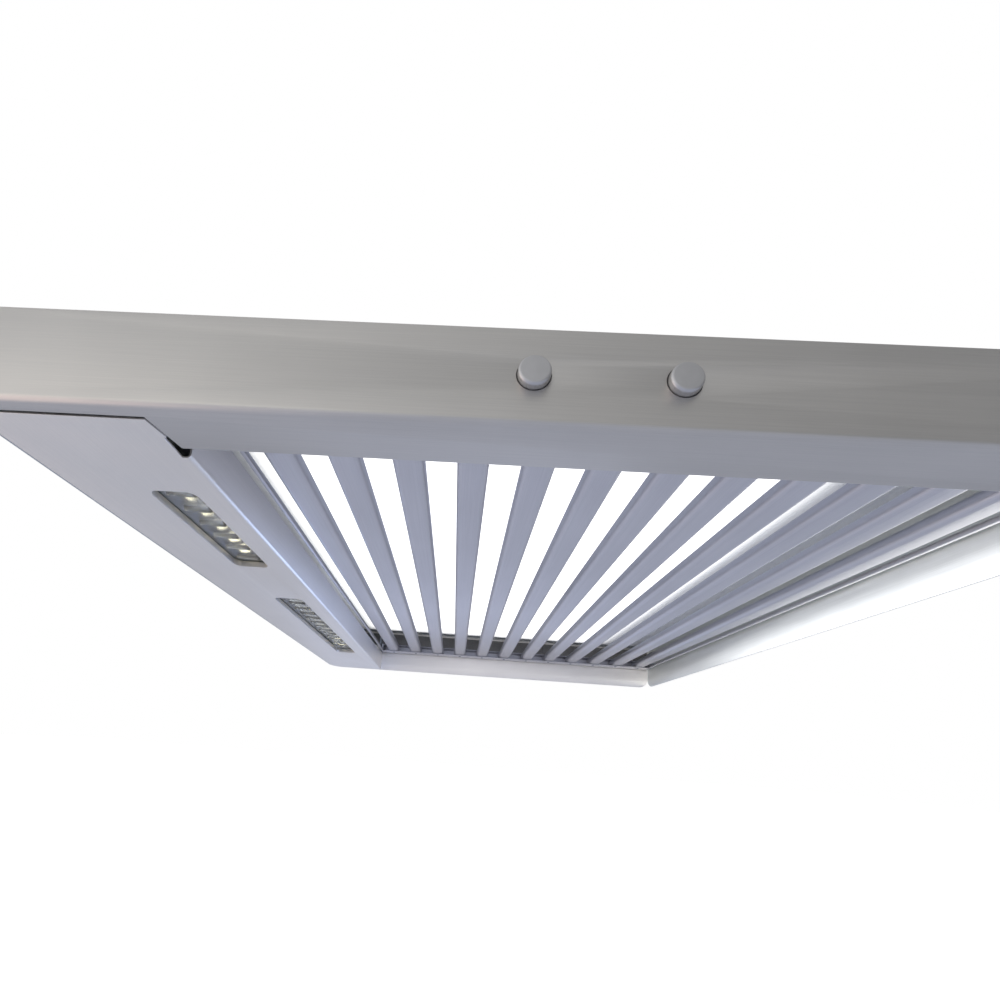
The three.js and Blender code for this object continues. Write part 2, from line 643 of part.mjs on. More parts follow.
// A bell mouth: a quarter circle from the deck up to the wheel's eye
function inletRing() {
  const outer = INLET_RADIUS + INLET_FLARE - GAP;
  const rise = FAN_FLOOR + SHEET - GAP;
  const steps = 5;
  const curve = (shrink) => Array.from({ length: steps + 1 }, (unused, index) => {
    const angle = (Math.PI / 2) * (index / steps);
    const radius = outer - (INLET_FLARE - shrink) * Math.sin(angle);
    return [radius, (rise - shrink) * (1 - Math.cos(angle))];
  });
  const inner = curve(0);
  const back = curve(INLET_SHEET).reverse().map(([radius, height]) => [radius, height + INLET_SHEET]);
  const profile = [...inner, ...back, inner[0]].reverse();
  return at(piece('inlet_ring', turned(profile, 40), GALVANISED), 0, FAN_Y, DECK_BOTTOM);
}

// The spiral from the tongue round to the outlet, about the fan's centre
function scrollLine() {
  const spiral = Array.from({ length: SCROLL_STEPS + 1 }, (unused, index) => {
    const share = index / SCROLL_STEPS;
    const angle = SCROLL_TONGUE_ANGLE + (Math.PI * 2 - SCROLL_TONGUE_ANGLE) * share;
    const radius = TONGUE_RADIUS + SCROLL_GROWTH * share;
    return [radius * Math.cos(angle), radius * Math.sin(angle)];
  });
  return [...spiral, [SCROLL_RADIUS, SCROLL_RADIUS - GAP]];
}

function offsetLine(points, distance) {
  return points.map(([x, y], index) => {
    const [ax, ay] = points[Math.max(index - 1, 0)];
    const [bx, by] = points[Math.min(index + 1, points.length - 1)];
    const length = Math.hypot(bx - ax, by - ay);
    return [x + distance * (by - ay) / length, y - distance * (bx - ax) / length];
  });
}

function scrollWall() {
  const z0 = DECK_TOP + GAP;
  const z1 = COVER_BOTTOM - GAP;
  const line = scrollLine();
  const half = SHEET / 2;
  const spiral = polygon([...offsetLine(line, half), ...offsetLine(line, -half).reverse()]);
  const [tongueX, tongueY] = line[0];
  const tongue = block(tongueX - half, tongueX + half, tongueY - half, SCROLL_RADIUS - GAP, z0, z1);
  return at(piece('scroll_wall', join(alongZ(spiral, z0, z1), tongue), GALVANISED), 0, FAN_Y, 0);
}

function scrollCover() {
  const line = scrollLine();
  const outline = polygon([...offsetLine(line, SHEET / 2), [line[0][0], SCROLL_RADIUS - GAP]]);
  const plate = alongZ(outline, COVER_BOTTOM, COVER_TOP);
  return at(piece('scroll_cover', plate, GALVANISED), 0, FAN_Y, 0);
}

function fanWheel() {
  const dishInner = MOTOR_RADIUS + MOTOR_CLEARANCE;
  const dishOuter = dishInner + BLADE_SHEET;
  const hubBottom = HUB_TOP - HUB_THICKNESS;
  const bore = SHAFT_RADIUS + SHAFT_CLEARANCE;
  const dish = turned([
    [bore, hubBottom],
    [dishOuter, hubBottom],
    [dishOuter, WHEEL_TOP - BLADE_SHEET],
    [FAN_RADIUS, WHEEL_TOP - BLADE_SHEET],
    [FAN_RADIUS, WHEEL_TOP],
    [dishInner, WHEEL_TOP],
    [dishInner, HUB_TOP],
    [bore, HUB_TOP],
    [bore, hubBottom],
  ], 48);
  const eye = FAN_RADIUS - BLADE_DEPTH;
  const ring = turned([
    [eye, WHEEL_BOTTOM],
    [FAN_RADIUS, WHEEL_BOTTOM],
    [FAN_RADIUS, WHEEL_BOTTOM + RING_HEIGHT],
    [eye, WHEEL_BOTTOM + RING_HEIGHT],
    [eye, WHEEL_BOTTOM],
  ], 48);
  const middle = FAN_RADIUS - BLADE_DEPTH / 2 - BLADE_SHEET;
  const half = BLADE_DEPTH / 2 - BLADE_SHEET;
  const blades = Array.from({ length: BLADE_COUNT }, (unused, index) => block(
    -half, half, -BLADE_SHEET / 2, BLADE_SHEET / 2,
    WHEEL_BOTTOM + BLADE_SHEET, WHEEL_TOP - BLADE_SHEET / 2,
  ).rotateZ(BLADE_ANGLE).translate(middle, 0, 0).rotateZ((index / BLADE_COUNT) * Math.PI * 2));
  return at(piece('fan_wheel', join(dish, ring, ...blades), DARK_PLASTIC), 0, FAN_Y, 0);
}

function motor() {
  const top = COVER_BOTTOM - GAP;
  const profile = [
    [0, MOTOR_BOTTOM],
    [MOTOR_RADIUS - MOTOR_BEVEL, MOTOR_BOTTOM],
    [MOTOR_RADIUS, MOTOR_BOTTOM + MOTOR_BEVEL],
    [MOTOR_RADIUS, top - SHEET],
    [MOTOR_RADIUS + MOTOR_FLANGE, top - SHEET],
    [MOTOR_RADIUS + MOTOR_FLANGE, top],
    [0, top],
  ];
  return at(piece('motor', turned(profile, 40), DARK_METAL), 0, FAN_Y, 0);
}

function motorShaft() {
  const top = MOTOR_BOTTOM - GAP;
  const bottom = top - SHAFT_LENGTH;
  const profile = [[0, bottom], [SHAFT_RADIUS, bottom], [SHAFT_RADIUS, top], [0, top]];
  return at(piece('motor_shaft', turned(profile, 24), DARK_METAL), 0, FAN_Y, 0);
}

function capacitor() {
  const can = rod(CAPACITOR.radius, CAPACITOR.length, 24);
  const x = -SCROLL_RADIUS - CAPACITOR.gap - CAPACITOR.radius;
  return at(piece('capacitor', can, GALVANISED), x, FAN_Y - SCROLL_RADIUS / 2,
    DECK_TOP + GAP + CAPACITOR.radius);
}

function dischargeBox() {
  const halfLength = COLLAR_LENGTH / 2 + SHEET;
  const halfWidth = COLLAR_WIDTH / 2 + SHEET;
  const z0 = DECK_TOP + GAP;
  const z1 = -SHEET - GAP;
  const outer = block(-halfLength, halfLength, COLLAR_Y - halfWidth, COLLAR_Y + halfWidth, z0, z1);
  const inner = block(-halfLength + SHEET, halfLength - SHEET,
    COLLAR_Y - halfWidth + SHEET, COLLAR_Y + halfWidth - SHEET, z0 - SHEET, z1 + SHEET);
  const tongueX = TONGUE_RADIUS * Math.cos(SCROLL_TONGUE_ANGLE);
  const window = block(tongueX + SHEET, SCROLL_RADIUS - SHEET, DISCHARGE_FRONT - SHEET,
    DISCHARGE_FRONT + SHEET * 2, z0 + SHEET, COVER_BOTTOM - SHEET);
  return piece('discharge_box', cut(outer, inner, window), GALVANISED);
}

// ---- duct collar ----

function ductCollar() {
  const halfLength = COLLAR_LENGTH / 2;
  const halfWidth = COLLAR_WIDTH / 2;
  const tube = block(-halfLength, halfLength, COLLAR_Y - halfWidth, COLLAR_Y + halfWidth,
    GAP, COLLAR_HEIGHT);
  const flange = block(-halfLength - COLLAR_FLANGE, halfLength + COLLAR_FLANGE,
    COLLAR_Y - halfWidth - COLLAR_FLANGE, COLLAR_Y + halfWidth + COLLAR_FLANGE, GAP, GAP + SHEET);
  const inner = block(-halfLength + SHEET, halfLength - SHEET, COLLAR_Y - halfWidth + SHEET,
    COLLAR_Y + halfWidth - SHEET, -SHEET, COLLAR_HEIGHT + SHEET);
  const pinHole = rod(FLAP_PIN + GAP, COLLAR_LENGTH + SHEET * 2, 12).rotateZ(Math.PI / 2)
    .translate(0, FLAP_Y, FLAP_HEIGHT);
  return piece('duct_collar', cut(join(tube, flange), inner, pinHole), GALVANISED);
}

function damperFlap() {
  const half = COLLAR_LENGTH / 2 - SHEET - FLAP_CLEARANCE;
  const front = COLLAR_Y - COLLAR_WIDTH / 2 + SHEET + FLAP_CLEARANCE;
  const bottom = FLAP_HEIGHT - FLAP_BARREL;
  const plate = block(-half, half, front, FLAP_Y, bottom, bottom + FLAP_SHEET);
  const barrel = rod(FLAP_BARREL, half * 2, 16).rotateZ(Math.PI / 2).translate(0, FLAP_Y, FLAP_HEIGHT);
  const bore = rod(FLAP_PIN + SHAFT_CLEARANCE, half * 3, 16).rotateZ(Math.PI / 2)
    .translate(0, FLAP_Y, FLAP_HEIGHT);
  return piece('damper_flap', cut(join(plate, barrel), bore), GALVANISED);
}

function damperPin() {
  const pin = rod(FLAP_PIN, COLLAR_LENGTH + SHEET * 2, 16).rotateZ(Math.PI / 2);
  return at(piece('damper_pin', pin, DARK_METAL), 0, FLAP_Y, FLAP_HEIGHT);
}

// ---- controls ----

function button(name, side) {
  const back = SHEET + GAP;
  const stemEnd = SWITCH_START + STEM_INSIDE;
  const shoulder = back + BUTTON_FLANGE;
  const profile = [
    [0, -BUTTON_PROUD],
    [BUTTON_RADIUS - BUTTON_BEVEL, -BUTTON_PROUD],
    [BUTTON_RADIUS, -BUTTON_PROUD + BUTTON_BEVEL],
    [BUTTON_RADIUS, back],
    [BUTTON_RADIUS + BUTTON_FLANGE, back],
    [BUTTON_RADIUS + BUTTON_FLANGE, shoulder],
    [BUTTON_STEM, shoulder],
    [BUTTON_STEM, stemEnd],
    [0, stemEnd],
  ];
  const cap = turned(profile, 32).rotateX(-Math.PI / 2);
  return at(piece(name, cap, BRUSHED), side * BUTTON_SPACING / 2, FRONT, BUTTON_Z);
}

function switchBody(name, side) {
  const half = SWITCH_SIZE / 2;
  const body = block(-half, half, 0, SWITCH_LENGTH, -half, half);
  const bore = rod(BUTTON_STEM + BUTTON_CLEARANCE, 2 * (STEM_INSIDE + BUTTON_TRAVEL * 2), 16);
  const hollow = cut(body, bore);
  return at(piece(name, hollow, DARK_PLASTIC), side * BUTTON_SPACING / 2, SWITCH_FRONT, BUTTON_Z);
}

function switchBracket() {
  const half = BUTTON_SPACING / 2 + BRACKET_REACH;
  const y0 = FRONT + SHEET + GAP;
  const y1 = SWITCH_BACK + GAP;
  const z0 = BUTTON_Z - SWITCH_SIZE / 2 - SHEET;
  const z1 = BUTTON_Z + SWITCH_SIZE / 2 + SHEET;
  const plate = block(-half, half, y1, y1 + SHEET, z0, z1);
  const arms = [-half, half - SHEET].map((x) => block(x, x + SHEET, y0, y1 + SHEET, z0, z1));
  return piece('switch_bracket', join(plate, ...arms), GALVANISED);
}

// ---- wiring ----

function wiringBox() {
  const halfWidth = WIRING_BOX.width / 2;
  const halfLength = WIRING_BOX.length / 2;
  const z0 = DECK_TOP + GAP;
  const outer = block(-halfWidth, halfWidth, -halfLength, halfLength, z0, -SHEET - GAP);
  const inner = block(-halfWidth + SHEET, halfWidth - SHEET, -halfLength - SHEET, halfLength - SHEET,
    z0 + SHEET, SHEET);
  return at(piece('wiring_box', cut(outer, inner), GALVANISED), WIRING_X, WIRING_Y, 0);
}

function wiringCover() {
  const half = WIRING_BOX.width / 2;
  const y1 = WIRING_Y - WIRING_BOX.length / 2 - GAP;
  const plate = block(WIRING_X - half, WIRING_X + half, y1 - SHEET, y1, DECK_TOP + GAP, -SHEET - GAP);
  return piece('wiring_cover', plate, GALVANISED);
}

function terminalBlock() {
  const z0 = DECK_TOP + GAP + SHEET + GAP;
  const halfWidth = TERMINAL.width / 2;
  const halfLength = TERMINAL.length / 2;
  const body = block(-halfWidth, halfWidth, -halfLength, halfLength, z0, z0 + TERMINAL.height);
  const pitch = TERMINAL.width / TERMINAL.poles;
  const well = rod(pitch / 4, TERMINAL.height, 12).rotateX(Math.PI / 2)
    .translate(-halfWidth + pitch / 2, 0, z0 + TERMINAL.height);
  const wells = Array.from({ length: TERMINAL.poles }, (unused, index) => well.clone()
    .translate(pitch * index, 0, 0));
  return at(piece('terminal_block', cut(body, ...wells), WHITE_PLASTIC), WIRING_X, WIRING_Y, 0);
}

function cableGland() {
  const flangeTop = GAP + SHEET * 2;
  const profile = [
    [GLAND_BORE, -GLAND_RISE],
    [GLAND_RADIUS, -GLAND_RISE],
    [GLAND_RADIUS, GAP],
    [GLAND_RADIUS + GLAND_FLANGE, GAP],
    [GLAND_RADIUS + GLAND_FLANGE, flangeTop],
    [GLAND_NOSE, GLAND_RISE],
    [GLAND_BORE, GLAND_RISE],
    [GLAND_BORE, -GLAND_RISE],
  ];
  return at(piece('cable_gland', turned(profile, 24), DARK_PLASTIC), WIRING_X, WIRING_Y, 0);
}

// ---- assembly ----

function assembly(...pieces) {
  const group = new THREE.Group();
  group.add(...pieces);
  return group;
}

const filterMiddle = (FILTER_LEFT + FILTER_RIGHT) / 2;

const body = assembly(
  fascia(),
  slopePanel(),
  topPanel(),
  backPanel(),
  sidePanel('side_panel_left', LEFT),
  sidePanel('side_panel_right', RIGHT - SHEET),
);

const lampBox = assembly(
  lampPanel(),
  ...LAMP_WINDOWS.map(lampLens),
  ...LAMP_WINDOWS.map(lampBoard),
  lampCover(),
  lampDriver(),
);

const baffleFilter = assembly(
  crossRail('filter_rail_front', FILTER_FRONT, 0),
  crossRail('filter_rail_rear', FILTER_BACK, Math.PI),
  sideRail('filter_rail_left', FILTER_LEFT),
  sideRail('filter_rail_right', FILTER_RIGHT - SIDE_RAIL),
  ...slats(),
  filterPin('filter_pin_left', FILTER_LEFT, -1),
  filterPin('filter_pin_right', FILTER_RIGHT, 1),
);

const filterMount = assembly(
  hingeEar('hinge_ear_left', FILTER_LEFT, -1),
  hingeEar('hinge_ear_right', FILTER_RIGHT, 1),
  catchBracket('catch_bracket_left', filterMiddle - CATCH_OFFSET),
  catchBracket('catch_bracket_right', filterMiddle + CATCH_OFFSET),
  catchMagnet('catch_magnet_left', filterMiddle - CATCH_OFFSET),
  catchMagnet('catch_magnet_right', filterMiddle + CATCH_OFFSET),
);

const blower = assembly(
  matFrame(),
  greaseMat(),
  blowerDeck(),
  inletRing(),
  scrollWall(),
  scrollCover(),
  fanWheel(),
  motor(),
  motorShaft(),
  capacitor(),
  dischargeBox(),
);

const duct = assembly(ductCollar(), damperFlap(), damperPin());

const controls = assembly(
  button('button_fan', -1),
  button('button_light', 1),
  switchBody('switch_body_fan', -1),
  switchBody('switch_body_light', 1),
  switchBracket(),
);

const wiring = assembly(wiringBox(), wiringCover(), terminalBlock(), cableGland());

const hood = assembly(body, lampBox, baffleFilter, filterMount, blower, duct, controls, wiring);
hood.name = 'range_hood';

export default hood;
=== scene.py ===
import json
from math import pi, radians

import bmesh
import bpy
from mathutils import Matrix, Vector

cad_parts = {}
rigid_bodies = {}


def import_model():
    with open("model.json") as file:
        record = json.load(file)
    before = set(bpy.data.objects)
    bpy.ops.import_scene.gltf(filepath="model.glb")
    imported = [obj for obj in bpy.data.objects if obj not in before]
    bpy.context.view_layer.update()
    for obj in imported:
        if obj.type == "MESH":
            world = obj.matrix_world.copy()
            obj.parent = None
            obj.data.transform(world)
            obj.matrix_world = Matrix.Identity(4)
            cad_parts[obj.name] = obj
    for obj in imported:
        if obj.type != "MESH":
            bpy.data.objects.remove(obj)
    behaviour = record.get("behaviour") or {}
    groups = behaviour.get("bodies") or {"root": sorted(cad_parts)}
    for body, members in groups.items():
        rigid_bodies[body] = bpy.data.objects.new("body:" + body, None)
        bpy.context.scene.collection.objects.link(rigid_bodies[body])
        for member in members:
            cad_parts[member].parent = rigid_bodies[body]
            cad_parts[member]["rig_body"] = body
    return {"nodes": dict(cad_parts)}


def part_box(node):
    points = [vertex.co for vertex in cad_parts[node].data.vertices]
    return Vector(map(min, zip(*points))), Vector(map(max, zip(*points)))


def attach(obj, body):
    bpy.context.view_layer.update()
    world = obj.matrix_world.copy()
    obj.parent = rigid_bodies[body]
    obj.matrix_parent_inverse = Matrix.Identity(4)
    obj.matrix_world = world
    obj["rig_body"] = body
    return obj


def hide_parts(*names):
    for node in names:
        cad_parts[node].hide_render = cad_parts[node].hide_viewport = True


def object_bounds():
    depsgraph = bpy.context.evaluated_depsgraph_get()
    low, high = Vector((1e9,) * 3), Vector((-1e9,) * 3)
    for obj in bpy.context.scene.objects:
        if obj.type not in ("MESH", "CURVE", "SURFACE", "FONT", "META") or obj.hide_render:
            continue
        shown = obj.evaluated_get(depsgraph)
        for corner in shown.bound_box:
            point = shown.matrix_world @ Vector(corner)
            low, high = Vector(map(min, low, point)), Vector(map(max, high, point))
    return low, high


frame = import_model()
cad_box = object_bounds()
MM = 0.001

# ---- Camera ----
# A wide lens in front of the hood and below its rim, left of the middle, looking back along the slats.
# Its place is measured from the hood's bottom left front corner.
CAMERA_OFFSET = Vector((245.6, -146.2, -143.8)) * MM
CAMERA_YAW, CAMERA_PITCH, CAMERA_ROLL = 0.028, 0.132, 0.074
CAMERA_LENS, CAMERA_SENSOR, CAMERA_NEAR = 13.43, 36, 0.01
CAMERA_SHIFT = (0.0537, 0.200)
hood_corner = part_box("side_panel_left")[0]
bpy.ops.object.camera_add(location=hood_corner + CAMERA_OFFSET)
camera = bpy.context.object
camera.matrix_world = (
    Matrix.Translation(hood_corner + CAMERA_OFFSET)
    @ Matrix.Rotation(CAMERA_YAW, 4, "Z")
    @ Matrix.Rotation(pi / 2 + CAMERA_PITCH, 4, "X")
    @ Matrix.Rotation(CAMERA_ROLL, 4, "Z")
)
camera.data.lens, camera.data.sensor_width = CAMERA_LENS, CAMERA_SENSOR
camera.data.shift_x, camera.data.shift_y = CAMERA_SHIFT
camera.data.clip_start = CAMERA_NEAR
bpy.context.scene.camera = camera
bpy.context.scene.view_settings.view_transform = "Standard"


# ---- Studio ----
# A pale matt floor well below the hood, a bright room that is lighter to the left, and soft lamps. Four of
# the lamps reach only one piece each. Nothing here is part of the hood.
def linear(colour):
    """The linear values that a shader takes, from an sRGB hex colour."""
    parts = [int(colour[start:start + 2], 16) / 255 for start in (1, 3, 5)]
    return [part / 12.92 if part <= 0.04045 else ((part + 0.055) / 1.055) ** 2.4 for part in parts] + [1.0]


def add_node(tree, kind, inputs=None, **settings):
    """One shader node with its settings; each input is a value or another node's output."""
    node = tree.nodes.new(kind)
    for name, value in settings.items():
        setattr(node, name, value)
    for name, value in (inputs or {}).items():
        if isinstance(value, bpy.types.NodeSocket):
            tree.links.new(value, node.inputs[name])
        else:
            node.inputs[name].default_value = value
    return node


def new_material(name):
    """An empty material with its Principled shader."""
    material = bpy.data.materials.new(name)
    material.use_nodes = True
    return material, material.node_tree, material.node_tree.nodes["Principled BSDF"]


FLOOR_SIZE, FLOOR_DROP = 30, 0.75
FLOOR_GLOW_SEEN, FLOOR_GLOW_CAST = 0.9, 0.12
bpy.ops.object.select_all(action="DESELECT")
bpy.ops.mesh.primitive_plane_add(size=FLOOR_SIZE, location=(0, 0, cad_box[0].z - FLOOR_DROP))
floor = bpy.context.object
floor.name = "studio_floor"
floor_paint, tree, shader = new_material("matt floor paint")
shader.inputs["Roughness"].default_value = 0.9
shader.inputs["Emission Color"].default_value = linear("#EEF1F8")
seen = add_node(tree, "ShaderNodeLightPath")
glow = add_node(tree, "ShaderNodeMapRange", {
    "Value": seen.outputs["Is Camera Ray"], "To Min": FLOOR_GLOW_CAST, "To Max": FLOOR_GLOW_SEEN,
})
tree.links.new(glow.outputs["Result"], shader.inputs["Emission Strength"])
paint = add_node(tree, "ShaderNodeMixRGB", {
    "Fac": seen.outputs["Is Camera Ray"], "Color1": linear("#D2D9EE"), "Color2": linear("#F4F4F4"),
})
tree.links.new(paint.outputs["Color"], shader.inputs["Base Color"])
floor.data.materials.append(floor_paint)

ROOM_GLOW_LEFT, ROOM_GLOW_RIGHT, ROOM_SPREAD = 1.05, 0.33, 0.9
world = bpy.data.worlds.new("soft room")
bpy.context.scene.world = world
world.use_nodes = True
tree = world.node_tree
tree.nodes.clear()
place = add_node(tree, "ShaderNodeTexCoord")
axes = add_node(tree, "ShaderNodeSeparateXYZ", {"Vector": place.outputs["Generated"]})
sideways = add_node(tree, "ShaderNodeMapRange", {
    "Value": axes.outputs["X"], "From Min": -ROOM_SPREAD, "From Max": ROOM_SPREAD,
    "To Min": ROOM_GLOW_LEFT, "To Max": ROOM_GLOW_RIGHT,
})
room = add_node(tree, "ShaderNodeBackground", {
    "Color": linear("#E9ECF2"), "Strength": sideways.outputs["Result"],
})
white = add_node(tree, "ShaderNodeBackground", {"Color": linear("#FFFFFF"), "Strength": 1.0})
ray = add_node(tree, "ShaderNodeLightPath")
mix = add_node(tree, "ShaderNodeMixShader", {
    0: ray.outputs["Is Camera Ray"], 1: room.outputs[0], 2: white.outputs[0],
})
add_node(tree, "ShaderNodeOutputWorld", {"Surface": mix.outputs[0]})


def area_lamp(name, place, aim, size, watts, colour="#FFFFFF"):
    """A soft rectangular lamp at a place, turned towards its aim; the camera doesn't see it."""
    bpy.ops.object.light_add(type="AREA", location=place)
    lamp = bpy.context.object
    lamp.name = name
    lamp.rotation_euler = (Vector(aim) - Vector(place)).to_track_quat("-Z", "Y").to_euler()
    lamp.data.shape = "RECTANGLE"
    lamp.data.size, lamp.data.size_y = size
    lamp.data.energy = watts
    lamp.data.color = linear(colour)[:3]
    lamp.visible_camera = False
    return lamp


def light_only(lamp, *pieces):
    """Lets the lamp reach only these pieces, with nothing else in its way."""
    reach = bpy.data.collections.new(f"{lamp.name} reach")
    for piece in pieces:
        reach.objects.link(piece)
    lamp.light_linking.receiver_collection = lamp.light_linking.blocker_collection = reach


area_lamp("window_lamp", place=(-3.0, -2.6, 0.9), aim=(0, 0, -0.1), size=(3.6, 2.6), watts=9,
          colour="#FFF9F0")
area_lamp("low_left_card", place=(-1.5, -0.5, -0.62), aim=(0, 0, 0), size=(1.0, 1.6), watts=5,
          colour="#FFE2D2")
area_lamp("low_back_card", place=(-0.1, 1.5, -0.7), aim=(0, 0.1, 0), size=(1.6, 0.9), watts=1.5,
          colour="#CCD8FF")

hood_left, hood_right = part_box("side_panel_left")[0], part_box("side_panel_right")[1]
PLENUM_DROP, PLENUM_START, PLENUM_END, PLENUM_LENGTH = 12 * MM, 73 * MM, 510 * MM, 520 * MM
UP = Vector((0, 0, 1))
plenum_middle = Vector((
    hood_left.x + (PLENUM_START + PLENUM_END) / 2, (hood_left.y + hood_right.y) / 2,
    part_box("grease_mat")[0].z - PLENUM_DROP,
))
plenum_lamp = area_lamp("plenum_lamp", place=plenum_middle, aim=plenum_middle + UP,
                        size=(PLENUM_END - PLENUM_START, PLENUM_LENGTH), watts=1.2)
area_lamp("plenum_fill", place=plenum_middle, aim=plenum_middle - UP, size=(0.5, 0.5), watts=0.3,
          colour="#DCE4FF")

WASH_HEIGHT, LAMP_WASH_HEIGHT = 75 * MM, 110 * MM
BACK_WASH_GAP, LAMP_WASH_GAP, SIDE_WASH_GAP = 240 * MM, 270 * MM, 330 * MM
LAMP_WASH_BACK = 60 * MM
back_foot = Vector((0, hood_right.y - BACK_WASH_GAP, hood_left.z + WASH_HEIGHT))
back_wash = area_lamp("back_wash", place=back_foot, aim=back_foot + Vector((0, 1, 0)),
                      size=(0.6, 0.15), watts=0.5)
lamp_foot = Vector((
    hood_left.x + LAMP_WASH_GAP, plenum_middle.y + LAMP_WASH_BACK, hood_left.z + LAMP_WASH_HEIGHT,
))
lamp_wash = area_lamp("lamp_wash", place=lamp_foot, aim=lamp_foot - Vector((1, 0, 0)),
                      size=(0.3, 0.6), watts=1.1, colour="#A4C0FF")
side_foot = Vector((hood_left.x + SIDE_WASH_GAP, back_foot.y, back_foot.z))
side_wash = area_lamp("side_wash", place=side_foot, aim=side_foot + Vector((1, 0.5, 0)),
                      size=(1.0, 0.45), watts=5.5)


# ---- Fascia ----
# One strip of 1.2 mm stainless sheet, folded back at the bottom into a lip that covers the filter's front.
# The lip is cut away beside the lamp panel, and two holes in the front take the push buttons.
SHEET = 1.2 * MM
EASED = 0.25 * MM
HAIR = 1e-5
FOLD_RADIUS, FOLD_STEPS = 2.6 * MM, 10
SHARP = radians(35)
LIP = 25 * MM
LAMP_LEDGE = 7 * MM
LAMP_SLANT = 5 * MM
BUTTON_HOLE = 7.9 * MM


def start_piece(kind, name, place, scale, turn=(0, 0, 0), **shape):
    """A primitive added at its place, scale and turn, all three kept in its mesh."""
    bpy.ops.object.select_all(action="DESELECT")
    getattr(bpy.ops.mesh, f"primitive_{kind}_add")(location=place, rotation=turn, **shape)
    piece = bpy.context.object
    piece.name = piece.data.name = name
    piece.scale = scale
    bpy.ops.object.transform_apply(location=True, rotation=True, scale=True)
    return piece


def choose(kind, test):
    """In edit mode, selects the vertices, edges or faces whose corners all pass the test."""
    bpy.ops.mesh.select_mode(type=kind)
    bpy.ops.mesh.select_all(action="DESELECT")
    mesh = bmesh.from_edit_mesh(bpy.context.object.data)
    if kind == "VERT":
        picked = [corner for corner in mesh.verts if test(corner.co)]
    else:
        elements = mesh.edges if kind == "EDGE" else mesh.faces
        picked = [element for element in elements if all(test(corner.co) for corner in element.verts)]
    for element in picked:
        element.select_set(True)
    bmesh.update_edit_mesh(bpy.context.object.data)


def apply_modifier(piece, kind, **settings):
    """A modifier with its settings, applied at once."""
    modifier = piece.modifiers.new(kind.title(), kind)
    for name, value in settings.items():
        setattr(modifier, name, value)
    bpy.context.view_layer.objects.active = piece
    bpy.ops.object.modifier_apply(modifier=modifier.name)


def cut_with(piece, *tools):
    """Cuts the piece with each tool, which is then thrown away."""
    for tool in tools:
        apply_modifier(piece, "BOOLEAN", operation="DIFFERENCE", object=tool, solver="EXACT")
        bpy.data.objects.remove(tool)


def ease_edges(piece, width=EASED, segments=2):
    """Eases the sharp edges as deburring does, and smooths what is rounded."""
    apply_modifier(piece, "BEVEL", width=width, segments=segments, limit_method="ANGLE",
                   angle_limit=SHARP, harden_normals=False)
    bpy.ops.object.select_all(action="DESELECT")
    piece.select_set(True)
    bpy.context.view_layer.objects.active = piece
    bpy.ops.object.shade_smooth_by_angle(angle=SHARP)


def finish_piece(piece, material, slot, body, *nodes):
    """Gives the piece its finish and lets it stand for its nodes on their body. The slot is not used."""
    piece.data.materials.clear()
    piece.data.materials.append(material)
    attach(piece, body)
    if nodes:
        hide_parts(*nodes)


def brushed_steel(name, along, colour, roughness=0.36, depth=1.0):
    """Stainless sheet brushed in straight lines: streaks 0.35 mm apart that run on for 60 mm, drawn wider
    than real brushing, over a slow cloudiness that rolled sheet has. They spread each highlight."""
    STREAK, RUN, CLOUD, CLOUD_SHARE = 0.35 * MM, 60 * MM, 70 * MM, 0.35
    DARK_AT, LIGHT_AT, DARKER, LIGHTER = 0.34, 0.66, 0.1, 0.08
    GLOSSIER, DULLER = 0.06, 0.08
    material, tree, shader = new_material(name)
    place = add_node(tree, "ShaderNodeTexCoord").outputs["Object"]
    scale = [1 / STREAK] * 3
    scale["XYZ".index(along)] = 1 / RUN
    lines = add_node(tree, "ShaderNodeMapping", {"Vector": place, "Scale": scale})
    streaks = add_node(tree, "ShaderNodeTexNoise", {
        "Vector": lines.outputs[0], "Scale": 1.0, "Detail": 4.0, "Roughness": 0.65,
    })
    clouds = add_node(tree, "ShaderNodeTexNoise", {"Vector": place, "Scale": 1 / CLOUD, "Detail": 2.0})
    both = add_node(tree, "ShaderNodeMix", {
        "Factor": CLOUD_SHARE, "A": streaks.outputs["Fac"], "B": clouds.outputs["Fac"],
    }, data_type="FLOAT")
    tone = add_node(tree, "ShaderNodeValToRGB", {"Fac": both.outputs["Result"]})
    base = linear(colour)
    shares = (1 - DARKER * depth, 1 + LIGHTER * depth)
    for stop, position, share in zip(tone.color_ramp.elements, (DARK_AT, LIGHT_AT), shares):
        stop.position = position
        stop.color = [min(1, part * share) for part in base[:3]] + [1]
    gloss = add_node(tree, "ShaderNodeMapRange", {
        "Value": streaks.outputs["Fac"], "From Min": 0.3, "From Max": 0.7,
        "To Min": roughness - GLOSSIER * depth, "To Max": roughness + DULLER * depth,
    })
    lines_up = add_node(tree, "ShaderNodeBump", {
        "Height": streaks.outputs["Fac"], "Strength": 0.3 * depth, "Distance": 0.012 * MM,
    })
    tree.links.new(tone.outputs["Color"], shader.inputs["Base Color"])
    tree.links.new(gloss.outputs["Result"], shader.inputs["Roughness"])
    tree.links.new(lines_up.outputs["Normal"], shader.inputs["Normal"])
    shader.inputs["Metallic"].default_value = 0.92
    return material


